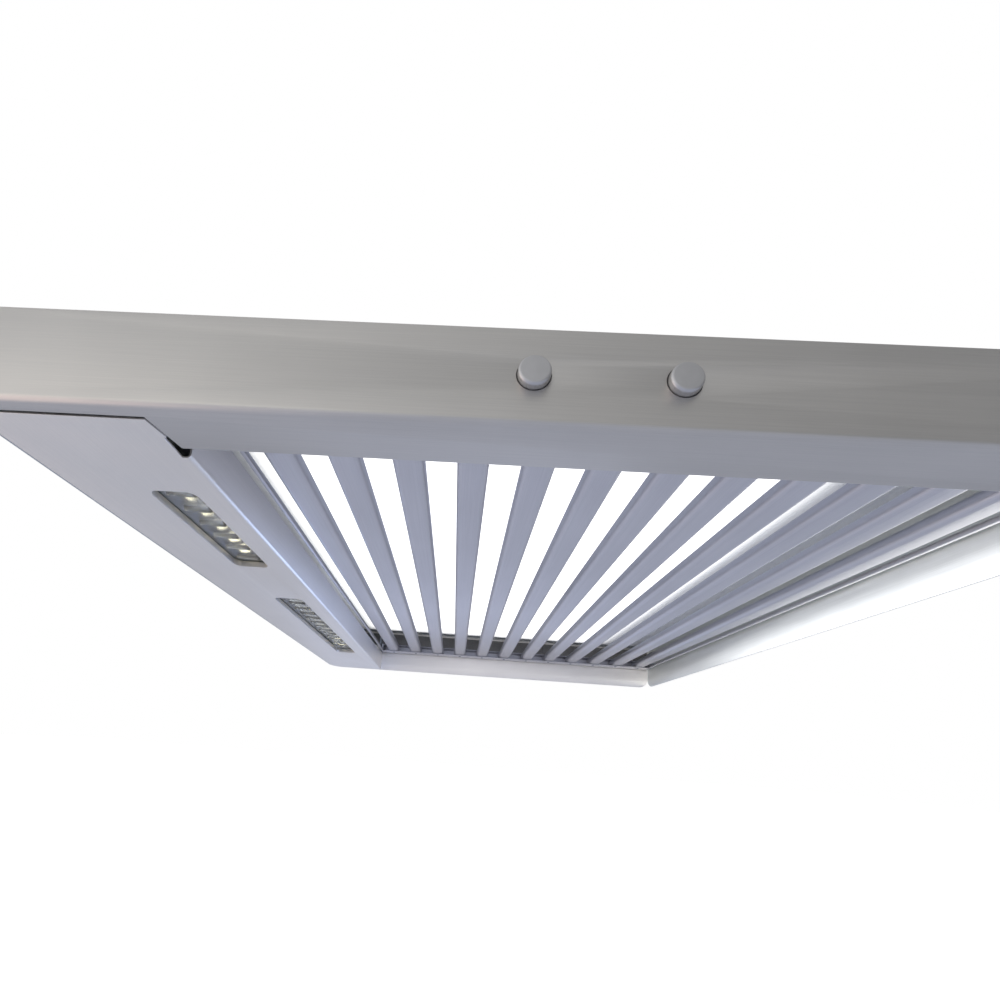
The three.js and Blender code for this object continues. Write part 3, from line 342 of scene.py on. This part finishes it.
front_finish = brushed_steel("stainless brushed along the width", "X", "#CBC7C0", roughness=0.44, depth=0.8)
fascia_low, fascia_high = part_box("fascia")
FRONT, RIM = fascia_low.y, fascia_low.z
fascia = start_piece("plane", "fascia_strip", (0, FRONT, (RIM + fascia_high.z) / 2),
                     (fascia_high.x - fascia_low.x, fascia_high.z - RIM, 1), (pi / 2, 0, 0), size=1)
bpy.ops.object.mode_set(mode="EDIT")
choose("EDGE", lambda co: co.z < RIM + HAIR)
bpy.ops.mesh.extrude_region_move(TRANSFORM_OT_translate={"value": (0, LIP, 0)})
choose("EDGE", lambda co: co.z < RIM + HAIR and co.y < FRONT + HAIR)
bpy.ops.mesh.bevel(offset=FOLD_RADIUS, segments=FOLD_STEPS, affect="EDGES")
bpy.ops.object.mode_set(mode="OBJECT")
apply_modifier(fascia, "SOLIDIFY", thickness=SHEET, offset=-1)
lamp_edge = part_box("lamp_panel")[1].x
notch = start_piece("cube", "notch_tool", (fascia_low.x, FRONT + LAMP_LEDGE + LIP / 2, RIM),
                    (2 * (lamp_edge - LAMP_SLANT - fascia_low.x), LIP, 4 * SHEET), size=1)
bpy.ops.object.mode_set(mode="EDIT")
choose("EDGE", lambda co: co.x > fascia_low.x and co.y > FRONT + LIP - HAIR)
bpy.ops.transform.translate(value=(LAMP_SLANT * LIP / (LIP - LAMP_LEDGE), 0, 0))
bpy.ops.object.mode_set(mode="OBJECT")
button_places = [(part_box(node)[0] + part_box(node)[1]) / 2 for node in ("button_fan", "button_light")]
holes = [
    start_piece("cylinder", "hole_tool", (place.x, FRONT, place.z), (1, 1, 1), (pi / 2, 0, 0),
                vertices=48, radius=BUTTON_HOLE, depth=6 * SHEET)
    for place in button_places
]
cut_with(fascia, notch, *holes)
ease_edges(fascia)
finish_piece(fascia, front_finish, "brushed_front", "root", "fascia")


# ---- Casing ----
# Plain folded plates: the slanted front, two ends, the back and the top. They are cut from sheet,
# deburred and riveted together. All are stainless but the top, which is zinc-coated.
def eased_copy(node, material, slot, width=EASED, segments=2):
    """A CAD node's piece as it comes from deburring: doubles merged, flats whole, edges eased."""
    bpy.ops.object.select_all(action="DESELECT")
    piece = bpy.data.objects.new(f"{node}_made", frame["nodes"][node].data.copy())
    bpy.context.scene.collection.objects.link(piece)
    piece.select_set(True)
    bpy.context.view_layer.objects.active = piece
    bpy.ops.object.mode_set(mode="EDIT")
    bpy.ops.mesh.select_all(action="SELECT")
    bpy.ops.mesh.remove_doubles(threshold=HAIR)
    bpy.ops.mesh.dissolve_limited(angle_limit=radians(1))
    bpy.ops.object.mode_set(mode="OBJECT")
    ease_edges(piece, width, segments)
    finish_piece(piece, material, slot, frame["nodes"][node]["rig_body"], node)
    return piece


def galvanised_steel(name="galvanised sheet"):
    """Zinc-coated sheet: frozen zinc leaves a spangle of 7 mm flakes, each a little lighter or darker and
    duller or glossier than the next, with a fine grain on top."""
    FLAKE, GRAIN = 7 * MM, 1.2 * MM
    material, tree, shader = new_material(name)
    place = add_node(tree, "ShaderNodeTexCoord").outputs["Object"]
    flakes = add_node(tree, "ShaderNodeTexVoronoi", {"Vector": place, "Scale": 1 / FLAKE, "Randomness": 1.0})
    shade = add_node(tree, "ShaderNodeSeparateColor", {"Color": flakes.outputs["Color"]})
    grain = add_node(tree, "ShaderNodeTexNoise", {"Vector": place, "Scale": 1 / GRAIN, "Detail": 3.0})
    tone = add_node(tree, "ShaderNodeValToRGB", {"Fac": shade.outputs["Red"]})
    tone.color_ramp.elements[0].color = linear("#A3A8AB")
    tone.color_ramp.elements[1].color = linear("#BFC3C5")
    gloss = add_node(tree, "ShaderNodeMapRange", {
        "Value": shade.outputs["Green"], "To Min": 0.38, "To Max": 0.56,
    })
    relief = add_node(tree, "ShaderNodeBump", {
        "Height": grain.outputs["Fac"], "Strength": 0.25, "Distance": 0.05 * MM,
    })
    tree.links.new(tone.outputs["Color"], shader.inputs["Base Color"])
    tree.links.new(gloss.outputs["Result"], shader.inputs["Roughness"])
    tree.links.new(relief.outputs["Normal"], shader.inputs["Normal"])
    shader.inputs["Metallic"].default_value = 0.85
    return material


zinc = galvanised_steel()
end_finish = brushed_steel("stainless brushed along the depth", "Y", "#C3C5C4")
eased_copy("slope_panel", front_finish, "brushed_front")
eased_copy("side_panel_left", end_finish, "brushed_front")
light_only(side_wash, eased_copy("side_panel_right", end_finish, "brushed_front"))
back_finish = brushed_steel("satin stainless back", "X", "#E2DEDA", roughness=0.46, depth=0.5)
light_only(back_wash, eased_copy("back_panel", back_finish, "lamp_panel_satin"))
eased_copy("top_panel", zinc, "galvanised")


# ---- Lamp panel ----
# A satin stainless tray along the left end, folded up beside the filter. Its two windows are pressed in,
# with soft raised rims, and hold ribbed clear lenses in front of strips of LEDs.
lamp_finish = brushed_steel("satin stainless lamp panel", "Y", "#ECE6DC", roughness=0.46, depth=0.6)
PRESSED_EDGE = 0.45 * MM
lamp_panel = eased_copy("lamp_panel", lamp_finish, "lamp_panel_satin", width=PRESSED_EDGE, segments=3)
light_only(lamp_wash, lamp_panel)


def clear_acrylic(name="moulded clear acrylic"):
    """Injection-moulded acrylic: clear, faintly warm, glossy, with slight waves left by the mould."""
    WAVE = 6 * MM
    material, tree, shader = new_material(name)
    place = add_node(tree, "ShaderNodeTexCoord").outputs["Object"]
    waves = add_node(tree, "ShaderNodeTexNoise", {"Vector": place, "Scale": 1 / WAVE, "Detail": 1.0})
    gloss = add_node(tree, "ShaderNodeMapRange", {
        "Value": waves.outputs["Fac"], "To Min": 0.08, "To Max": 0.22,
    })
    relief = add_node(tree, "ShaderNodeBump", {
        "Height": waves.outputs["Fac"], "Strength": 0.3, "Distance": 0.2 * MM,
    })
    tree.links.new(gloss.outputs["Result"], shader.inputs["Roughness"])
    tree.links.new(relief.outputs["Normal"], shader.inputs["Normal"])
    shader.inputs["Base Color"].default_value = linear("#F2F0E4")
    shader.inputs["IOR"].default_value = 1.49
    shader.inputs["Transmission Weight"].default_value = 0.9
    return material


acrylic = clear_acrylic()
for end in ("front", "rear"):
    eased_copy(f"lamp_lens_{end}", acrylic, "lens", width=0.2 * MM)


def circuit_board(name="grey solder mask on aluminium"):
    """An aluminium-backed board under pale grey solder mask, which mutes the copper tracks beneath it."""
    TRACK = 9 * MM
    material, tree, shader = new_material(name)
    place = add_node(tree, "ShaderNodeTexCoord").outputs["Object"]
    tracks = add_node(tree, "ShaderNodeTexBrick", {
        "Vector": place, "Scale": 1 / TRACK, "Mortar Size": 0.02,
        "Color1": linear("#A9A498"), "Color2": linear("#A19C90"), "Mortar": linear("#8E897D"),
    })
    tree.links.new(tracks.outputs["Color"], shader.inputs["Base Color"])
    shader.inputs["Roughness"].default_value = 0.45
    return material


def phosphor(name="LED phosphor under silicone"):
    """A yellow phosphor pad under a clear silicone drop, lightly glowing and mottled by its grains."""
    GRAIN = 0.5 * MM
    material, tree, shader = new_material(name)
    place = add_node(tree, "ShaderNodeTexCoord").outputs["Object"]
    grains = add_node(tree, "ShaderNodeTexNoise", {"Vector": place, "Scale": 1 / GRAIN, "Detail": 2.0})
    tone = add_node(tree, "ShaderNodeValToRGB", {"Fac": grains.outputs["Fac"]})
    tone.color_ramp.elements[0].color = linear("#E6E2C8")
    tone.color_ramp.elements[1].color = linear("#FFFCEC")
    tree.links.new(tone.outputs["Color"], shader.inputs["Base Color"])
    tree.links.new(tone.outputs["Color"], shader.inputs["Emission Color"])
    shader.inputs["Emission Strength"].default_value = 2.5
    shader.inputs["Roughness"].default_value = 0.25
    return material


def moved_copy(piece, name, offset):
    """A copy of the piece with its own mesh, moved by the offset."""
    copy = bpy.data.objects.new(name, piece.data.copy())
    copy.data.transform(Matrix.Translation(offset))
    bpy.context.scene.collection.objects.link(copy)
    return copy


def copy_along(piece, name, places):
    """One object of several copies of the piece, each moved to its place; the piece is used up."""
    copies = [moved_copy(piece, name, place) for place in places]
    bpy.data.objects.remove(piece)
    bpy.ops.object.select_all(action="DESELECT")
    for copy in copies:
        copy.select_set(True)
    bpy.context.view_layer.objects.active = copies[0]
    bpy.ops.object.join()
    copies[0].name = name
    return copies[0]


solder_mask = circuit_board()
led_glow = phosphor()
LED_SIDE, LED_DEPTH, LED_PROUD, LED_OFFSET = 5 * MM, 1.9 * MM, 0.3 * MM, 5 * MM
LED_RIM, LED_RECESS, DROP_INSET, DROP_RISE = 0.6 * MM, 0.3 * MM, 0.2 * MM, 0.5 * MM
for end, count in (("front", 6), ("rear", 9)):
    eased_copy(f"lamp_board_{end}", solder_mask, "led_board", width=0.15 * MM)
    low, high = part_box(f"lamp_board_{end}")
    pitch = (high.y - low.y) / count
    led = start_piece("cube", "led", (0, 0, 0), (LED_SIDE, LED_SIDE, LED_DEPTH), size=1)
    bpy.ops.object.mode_set(mode="EDIT")
    choose("FACE", lambda co: co.z < 0)
    bpy.ops.mesh.inset(thickness=LED_RIM)
    bpy.ops.mesh.extrude_region_move(TRANSFORM_OT_translate={"value": (0, 0, LED_RECESS)})
    bpy.ops.mesh.inset(thickness=DROP_INSET)
    bpy.ops.mesh.extrude_region_move(TRANSFORM_OT_translate={"value": (0, 0, -DROP_RISE)})
    bpy.ops.object.mode_set(mode="OBJECT")
    ease_edges(led, width=0.15 * MM)
    middle = (low.x + high.x) / 2 - LED_OFFSET
    leds = copy_along(led, f"leds_{end}", [
        Vector((middle, low.y + pitch * (index + 0.5), low.z + LED_DEPTH / 2 - LED_PROUD))
        for index in range(count)
    ])
    finish_piece(leds, led_glow, "led_board", "root")
eased_copy("lamp_cover", zinc, "galvanised")


def moulded_plastic(name, colour, roughness):
    """Injection-moulded plastic with the fine spark texture of its tool, which dulls it evenly."""
    GRAIN, DARKER, LIGHTER = 0.6 * MM, 0.88, 1.1
    material, tree, shader = new_material(name)
    place = add_node(tree, "ShaderNodeTexCoord").outputs["Object"]
    grain = add_node(tree, "ShaderNodeTexNoise", {"Vector": place, "Scale": 1 / GRAIN, "Detail": 3.0})
    tone = add_node(tree, "ShaderNodeValToRGB", {"Fac": grain.outputs["Fac"]})
    base = linear(colour)
    for stop, share in zip(tone.color_ramp.elements, (DARKER, LIGHTER)):
        stop.color = [min(1, part * share) for part in base[:3]] + [1]
    relief = add_node(tree, "ShaderNodeBump", {
        "Height": grain.outputs["Fac"], "Strength": 0.3, "Distance": 0.04 * MM,
    })
    tree.links.new(tone.outputs["Color"], shader.inputs["Base Color"])
    tree.links.new(relief.outputs["Normal"], shader.inputs["Normal"])
    shader.inputs["Roughness"].default_value = roughness
    return material


white_plastic = moulded_plastic("white moulded polycarbonate", "#E8E8E4", roughness=0.45)
eased_copy("lamp_driver", white_plastic, "white_plastic", width=1.5 * MM, segments=4)


# ---- Baffle filter ----
# Twelve round-backed stainless channels, open at the top, run from front to back and catch the grease.
# Their ends are riveted into two folded rails, and flat bars close the sides.
SLAT_NAMES = [f"{number:02d}" for number in range(1, 13)]
SLAT_SHEET = 0.8 * MM
SLAT_ROUND = 5 * MM
slat_finish = brushed_steel("satin stainless slat", "Y", "#D3D1D2", roughness=0.42, depth=0.8)
first_low, first_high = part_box("baffle_slat_01")
slat_size = first_high - first_low
slat = start_piece("cube", "slat", (first_low + first_high) / 2, slat_size, size=1)
bpy.ops.object.mode_set(mode="EDIT")
choose("FACE", lambda co: co.z > first_high.z - HAIR)
bpy.ops.mesh.delete(type="FACE")
for end in (first_low.y, first_high.y):
    choose("FACE", lambda co: abs(co.y - end) < HAIR)
    bpy.ops.mesh.delete(type="FACE")
choose("EDGE", lambda co: co.z < first_low.z + HAIR)
bpy.ops.mesh.bevel(offset=SLAT_ROUND, segments=FOLD_STEPS, affect="EDGES")
bpy.ops.object.mode_set(mode="OBJECT")
apply_modifier(slat, "SOLIDIFY", thickness=SLAT_SHEET, offset=-1)
ease_edges(slat, width=0.2 * MM)
for number in SLAT_NAMES:
    node = f"baffle_slat_{number}"
    copy = moved_copy(slat, f"slat_{number}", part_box(node)[0] - first_low)
    finish_piece(copy, slat_finish, "slat_satin", "filter", node)
bpy.data.objects.remove(slat)
rail_finish = brushed_steel("satin stainless rail", "X", "#D3D1D2", roughness=0.42, depth=0.8)
for side in ("front", "rear", "left", "right"):
    finish = rail_finish if side in ("front", "rear") else slat_finish
    eased_copy(f"filter_rail_{side}", finish, "slat_satin")


def plain_metal(name, colour, roughness):
    """Turned or drawn metal left bright: even, with faint dull patches from handling and oil."""
    PATCH, GLOSSIER, DULLER, DARKER, LIGHTER = 5 * MM, 0.08, 0.12, 0.9, 1.06
    material, tree, shader = new_material(name)
    place = add_node(tree, "ShaderNodeTexCoord").outputs["Object"]
    patches = add_node(tree, "ShaderNodeTexNoise", {"Vector": place, "Scale": 1 / PATCH, "Detail": 3.0})
    gloss = add_node(tree, "ShaderNodeMapRange", {
        "Value": patches.outputs["Fac"], "To Min": roughness - GLOSSIER, "To Max": roughness + DULLER,
    })
    tone = add_node(tree, "ShaderNodeValToRGB", {"Fac": patches.outputs["Fac"]})
    base = linear(colour)
    for stop, share in zip(tone.color_ramp.elements, (DARKER, LIGHTER)):
        stop.color = [min(1, part * share) for part in base[:3]] + [1]
    tree.links.new(tone.outputs["Color"], shader.inputs["Base Color"])
    tree.links.new(gloss.outputs["Result"], shader.inputs["Roughness"])
    shader.inputs["Metallic"].default_value = 1.0
    return material


bright_steel = plain_metal("bright turned steel", "#8C9095", roughness=0.3)
RIVET_RADIUS, RIVET_DOME, RIVET_COLLAR = 2.2 * MM, 0.9 * MM, 0.3 * MM


def rivet_heads(name, way, places, body):
    """Domed rivet heads on a face at these places, pointing up when way is 1 and down when it is -1."""
    rivet = start_piece("uv_sphere", "rivet", (0, 0, 0), (1, 1, RIVET_DOME / RIVET_RADIUS),
                        radius=RIVET_RADIUS, segments=20, ring_count=10)
    bpy.ops.object.mode_set(mode="EDIT")
    choose("VERT", lambda co: co.z * way < -HAIR)
    bpy.ops.mesh.delete(type="VERT")
    choose("EDGE", lambda co: abs(co.z) < HAIR)
    bpy.ops.mesh.extrude_region_move(TRANSFORM_OT_translate={"value": (0, 0, -way * RIVET_COLLAR)})
    bpy.ops.mesh.edge_face_add()
    bpy.ops.object.mode_set(mode="OBJECT")
    bpy.ops.object.shade_smooth_by_angle(angle=radians(40))
    finish_piece(copy_along(rivet, name, places), bright_steel, "dark_steel", body)


RIVET_INSET = 9 * MM
rail_low, rail_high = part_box("filter_rail_rear")
rivet_rows = (rail_high.y - RIVET_INSET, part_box("filter_rail_front")[0].y + RIVET_INSET)
rivet_heads("rail_rivets", -1, [
    Vector((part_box(f"baffle_slat_{number}")[0].x + slat_size.x / 2, y, rail_low.z))
    for number in SLAT_NAMES for y in rivet_rows
], "filter")
for side in ("left", "right"):
    eased_copy(f"filter_pin_{side}", bright_steel, "dark_steel", width=0.2 * MM)
    eased_copy(f"hinge_ear_{side}", zinc, "galvanised")
    eased_copy(f"catch_bracket_{side}", zinc, "galvanised")


def ferrite(name="coated ferrite magnet"):
    """Pressed ferrite under a thin black coat: a fine dry grain that stays dull."""
    GRAIN = 0.8 * MM
    material, tree, shader = new_material(name)
    place = add_node(tree, "ShaderNodeTexCoord").outputs["Object"]
    grain = add_node(tree, "ShaderNodeTexNoise", {"Vector": place, "Scale": 1 / GRAIN, "Detail": 4.0})
    tone = add_node(tree, "ShaderNodeValToRGB", {"Fac": grain.outputs["Fac"]})
    tone.color_ramp.elements[0].color = linear("#2C2E31")
    tone.color_ramp.elements[1].color = linear("#4A4D52")
    relief = add_node(tree, "ShaderNodeBump", {
        "Height": grain.outputs["Fac"], "Strength": 0.5, "Distance": 0.08 * MM,
    })
    tree.links.new(tone.outputs["Color"], shader.inputs["Base Color"])
    tree.links.new(relief.outputs["Normal"], shader.inputs["Normal"])
    shader.inputs["Roughness"].default_value = 0.62
    return material


magnet_coat = ferrite()
for side in ("left", "right"):
    eased_copy(f"catch_magnet_{side}", magnet_coat, "magnet", width=0.8 * MM, segments=3)


# ---- Back shade strip ----
# A grey strip with a rounded nose and a dull, pitted cut face, in three butted lengths across the back,
# glued on above the filter's rear rail: painted shade, a grey piece where the back wall lies in shadow.
SHADE_STRIP_THICKNESS, SHADE_STRIP_NOSE, SHADE_STRIP_END, SHADE_STRIP_RISE, SHADE_STRIP_BUTT = 2 * MM, 1.4 * MM, 3 * MM, 3 * MM, 0.5 * MM
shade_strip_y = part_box("back_panel")[1].y - SHEET - SHADE_STRIP_THICKNESS / 2
shade_strip_bottom, shade_strip_top = rail_high.z + SHADE_STRIP_RISE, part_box("mat_frame")[0].z - SHADE_STRIP_RISE
shade_strip_length = (hood_right.x - hood_left.x - 2 * (SHEET + SHADE_STRIP_END)) / 3
shade_strip_height = shade_strip_top - shade_strip_bottom
length = start_piece("cube", "shade_strip_length", (0, 0, 0),
                     (shade_strip_length - SHADE_STRIP_BUTT, SHADE_STRIP_THICKNESS, shade_strip_height), size=1)
bpy.ops.object.mode_set(mode="EDIT")
for edge_z in (-shade_strip_height / 2, shade_strip_height / 2):
    choose("EDGE", lambda co: co.y < 0 and abs(co.z - edge_z) < HAIR)
    bpy.ops.mesh.bevel(offset=SHADE_STRIP_NOSE, segments=5, affect="EDGES")
bpy.ops.object.mode_set(mode="OBJECT")
ease_edges(length, width=0.2 * MM)
shade_strip_piece = copy_along(length, "painted_shade_strip", [
    Vector((step * shade_strip_length, shade_strip_y, (shade_strip_bottom + shade_strip_top) / 2)) for step in (-1, 0, 1)
])


def shade_foam(name="grey closed-cell foam"):
    """Painted shade: a grey closed-cell sheet cut from a block, its grey standing for the shadow on the back
    wall above the slats. Dull, with opened cells about 1 mm across that catch dust.
    """
    CELL = 1 * MM
    material, tree, shader = new_material(name)
    place = add_node(tree, "ShaderNodeTexCoord").outputs["Object"]
    cells = add_node(tree, "ShaderNodeTexVoronoi", {"Vector": place, "Scale": 1 / CELL, "Randomness": 1.0})
    tone = add_node(tree, "ShaderNodeValToRGB", {"Fac": cells.outputs["Distance"]})
    # Painted shade: these greys give the strip the darkness of the shadowed back wall.
    tone.color_ramp.elements[0].color = linear("#98938A")
    tone.color_ramp.elements[1].color = linear("#B2ADA2")
    relief = add_node(tree, "ShaderNodeBump", {
        "Height": cells.outputs["Distance"], "Strength": 0.4, "Distance": 0.3 * MM,
    })
    tree.links.new(tone.outputs["Color"], shader.inputs["Base Color"])
    tree.links.new(relief.outputs["Normal"], shader.inputs["Normal"])
    shader.inputs["Roughness"].default_value = 0.9
    return material


# Painted shade: this grey strip stands where the back wall lies in shadow above the slats.
finish_piece(shade_strip_piece, shade_foam(), "magnet", "root")


# ---- Grease mat ----
# A white polyester fleece, 8 mm thick and needled, laid on a ring of flat bar under the blower deck.
# It hangs a little between the bars, and takes up the oil that gets past the slats.
eased_copy("mat_frame", zinc, "galvanised")
MAT_SAG, MAT_EDGE, FRAME_BAR = 6 * MM, 2.5 * MM, 12 * MM
LUMP_WIDTH, LUMP_DEPTH = 30 * MM, 0.6 * MM
CLOTH_MASS, CLOTH_STRETCH, CLOTH_BEND, CLOTH_STEPS = 0.25, 8, 4, 20
mat_low, mat_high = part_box("grease_mat")
mat_size = mat_high - mat_low
mat = start_piece("grid", "fleece_mat", (mat_low + mat_high) / 2, (mat_size.x, mat_size.y, 1),
                  size=1, x_subdivisions=60, y_subdivisions=52)
held = mat.vertex_groups.new(name="on the frame")
held.add([corner.index for corner in mat.data.vertices
          if not (mat_low.x + FRAME_BAR < corner.co.x < mat_high.x - FRAME_BAR
                  and mat_low.y + FRAME_BAR < corner.co.y < mat_high.y - FRAME_BAR)], 1.0, "REPLACE")
cloth = mat.modifiers.new("Sag", "CLOTH")
cloth.settings.quality = 5
cloth.settings.mass = CLOTH_MASS
cloth.settings.tension_stiffness = cloth.settings.compression_stiffness = CLOTH_STRETCH
cloth.settings.bending_stiffness = CLOTH_BEND
cloth.settings.vertex_group_mass = held.name
cloth.point_cache.frame_end = CLOTH_STEPS
for moment in range(1, CLOTH_STEPS + 1):
    bpy.context.scene.frame_set(moment)
bpy.context.view_layer.objects.active = mat
bpy.ops.object.modifier_apply(modifier=cloth.name)
middle_z = (mat_low.z + mat_high.z) / 2
deepest = max(middle_z - corner.co.z for corner in mat.data.vertices)
share = min(1, MAT_SAG / max(deepest, HAIR))
for corner in mat.data.vertices:
    corner.co.z = middle_z - (middle_z - corner.co.z) * share
mat.vertex_groups.clear()
apply_modifier(mat, "SOLIDIFY", thickness=mat_size.z, offset=0)
apply_modifier(mat, "BEVEL", width=MAT_EDGE, segments=3, limit_method="ANGLE", angle_limit=radians(50))
lumps = bpy.data.textures.new("fleece lumps", "CLOUDS")
lumps.noise_scale = LUMP_WIDTH
apply_modifier(mat, "DISPLACE", texture=lumps, strength=LUMP_DEPTH, mid_level=1.0, texture_coords="LOCAL")
bpy.ops.object.select_all(action="DESELECT")
mat.select_set(True)
bpy.ops.object.shade_smooth()


def needled_fleece(name="needled polyester fleece"):
    """Polyester fibre needled into felt: matt and soft, with fibres a few millimetres long in every
    direction and faint dimples 4 mm apart where the needles went in."""
    FIBRE, NEEDLE = 1.1 * MM, 4 * MM
    material, tree, shader = new_material(name)
    place = add_node(tree, "ShaderNodeTexCoord").outputs["Object"]
    fibres = add_node(tree, "ShaderNodeTexNoise", {
        "Vector": place, "Scale": 1 / FIBRE, "Detail": 6.0, "Roughness": 0.7, "Distortion": 2.5,
    })
    dimples = add_node(tree, "ShaderNodeTexVoronoi", {
        "Vector": place, "Scale": 1 / NEEDLE, "Randomness": 0.3,
    })
    height = add_node(tree, "ShaderNodeMath", {
        0: fibres.outputs["Fac"], 1: dimples.outputs["Distance"],
    }, operation="ADD")
    tone = add_node(tree, "ShaderNodeValToRGB", {"Fac": fibres.outputs["Fac"]})
    tone.color_ramp.elements[0].color = linear("#EEEEEA")
    tone.color_ramp.elements[1].color = linear("#FFFFFF")
    relief = add_node(tree, "ShaderNodeBump", {
        "Height": height.outputs[0], "Strength": 0.5, "Distance": 0.4 * MM,
    })
    tree.links.new(tone.outputs["Color"], shader.inputs["Base Color"])
    tree.links.new(relief.outputs["Normal"], shader.inputs["Normal"])
    shader.inputs["Roughness"].default_value = 0.95
    shader.inputs["Sheen Weight"].default_value = 0.3
    return material


finish_piece(mat, needled_fleece(), "fleece", "root", "grease_mat")
light_only(plenum_lamp, mat)
mat.visible_glossy = mat.visible_diffuse = False


# ---- Blower ----
# A squirrel-cage wheel on the motor's shaft, in a scroll of bent sheet. It draws air up through the bell
# mouth in the deck and throws it back into the discharge box.
for node in ("blower_deck", "scroll_wall", "scroll_cover", "discharge_box"):
    eased_copy(node, zinc, "galvanised")
eased_copy("inlet_ring", zinc, "galvanised", width=0.3 * MM)
black_plastic = moulded_plastic("black moulded polypropylene", "#26282A", roughness=0.55)
eased_copy("fan_wheel", black_plastic, "black_plastic", width=0.25 * MM, segments=1)


def enamel(name="semi-gloss motor enamel"):
    """Sprayed dark enamel over a pressed steel shell, with the fine orange peel of a quick coat."""
    PEEL = 2.5 * MM
    material, tree, shader = new_material(name)
    place = add_node(tree, "ShaderNodeTexCoord").outputs["Object"]
    peel = add_node(tree, "ShaderNodeTexNoise", {"Vector": place, "Scale": 1 / PEEL, "Detail": 2.0})
    tone = add_node(tree, "ShaderNodeValToRGB", {"Fac": peel.outputs["Fac"]})
    tone.color_ramp.elements[0].color = linear("#43464A")
    tone.color_ramp.elements[1].color = linear("#52565B")
    relief = add_node(tree, "ShaderNodeBump", {
        "Height": peel.outputs["Fac"], "Strength": 0.3, "Distance": 0.06 * MM,
    })
    tree.links.new(tone.outputs["Color"], shader.inputs["Base Color"])
    tree.links.new(relief.outputs["Normal"], shader.inputs["Normal"])
    shader.inputs["Roughness"].default_value = 0.35
    return material


eased_copy("motor", enamel(), "motor_shell", width=1.2 * MM, segments=3)
eased_copy("motor_shaft", bright_steel, "dark_steel", width=0.4 * MM)
drawn_aluminium = plain_metal("drawn aluminium can", "#C4C7C9", roughness=0.32)
eased_copy("capacitor", drawn_aluminium, "capacitor_can", width=1.5 * MM, segments=4)


# ---- Duct collar ----
# A rectangular collar of bent sheet that the duct slides over, flanged and riveted to the top panel.
# Inside it a light flap on a long pin falls shut when the blower stops.
eased_copy("duct_collar", zinc, "galvanised")
collar_low, collar_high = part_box("duct_collar")
FLANGE_INSET = 5 * MM
rivet_heads("collar_rivets", 1, [
    Vector((x, y, collar_low.z + SHEET))
    for x in (collar_low.x + FLANGE_INSET, (collar_low.x + collar_high.x) / 2, collar_high.x - FLANGE_INSET)
    for y in (collar_low.y + FLANGE_INSET, collar_high.y - FLANGE_INSET)
], "root")
eased_copy("damper_flap", zinc, "galvanised", width=0.2 * MM)
eased_copy("damper_pin", bright_steel, "dark_steel", width=0.3 * MM)


# ---- Controls ----
# Two round push buttons with satin chrome faces stand out of the fascia. Each works a bought-in switch,
# and one bent bracket behind the fascia holds both switches.
button_finish = plain_metal("satin chrome button", "#C6C4C2", roughness=0.4)
for name in ("fan", "light"):
    eased_copy(f"button_{name}", button_finish, "button_metal", width=0.5 * MM, segments=4)
    eased_copy(f"switch_body_{name}", black_plastic, "black_plastic", width=0.6 * MM, segments=2)
eased_copy("switch_bracket", zinc, "galvanised")


# ---- Wiring ----
# The mains cable comes in through a moulded gland in the top and ends at a terminal block in a small
# sheet box, which has its own cover.
for node in ("wiring_box", "wiring_cover"):
    eased_copy(node, zinc, "galvanised")
eased_copy("terminal_block", white_plastic, "white_plastic", width=0.4 * MM)
eased_copy("cable_gland", black_plastic, "black_plastic", width=0.4 * MM, segments=3)
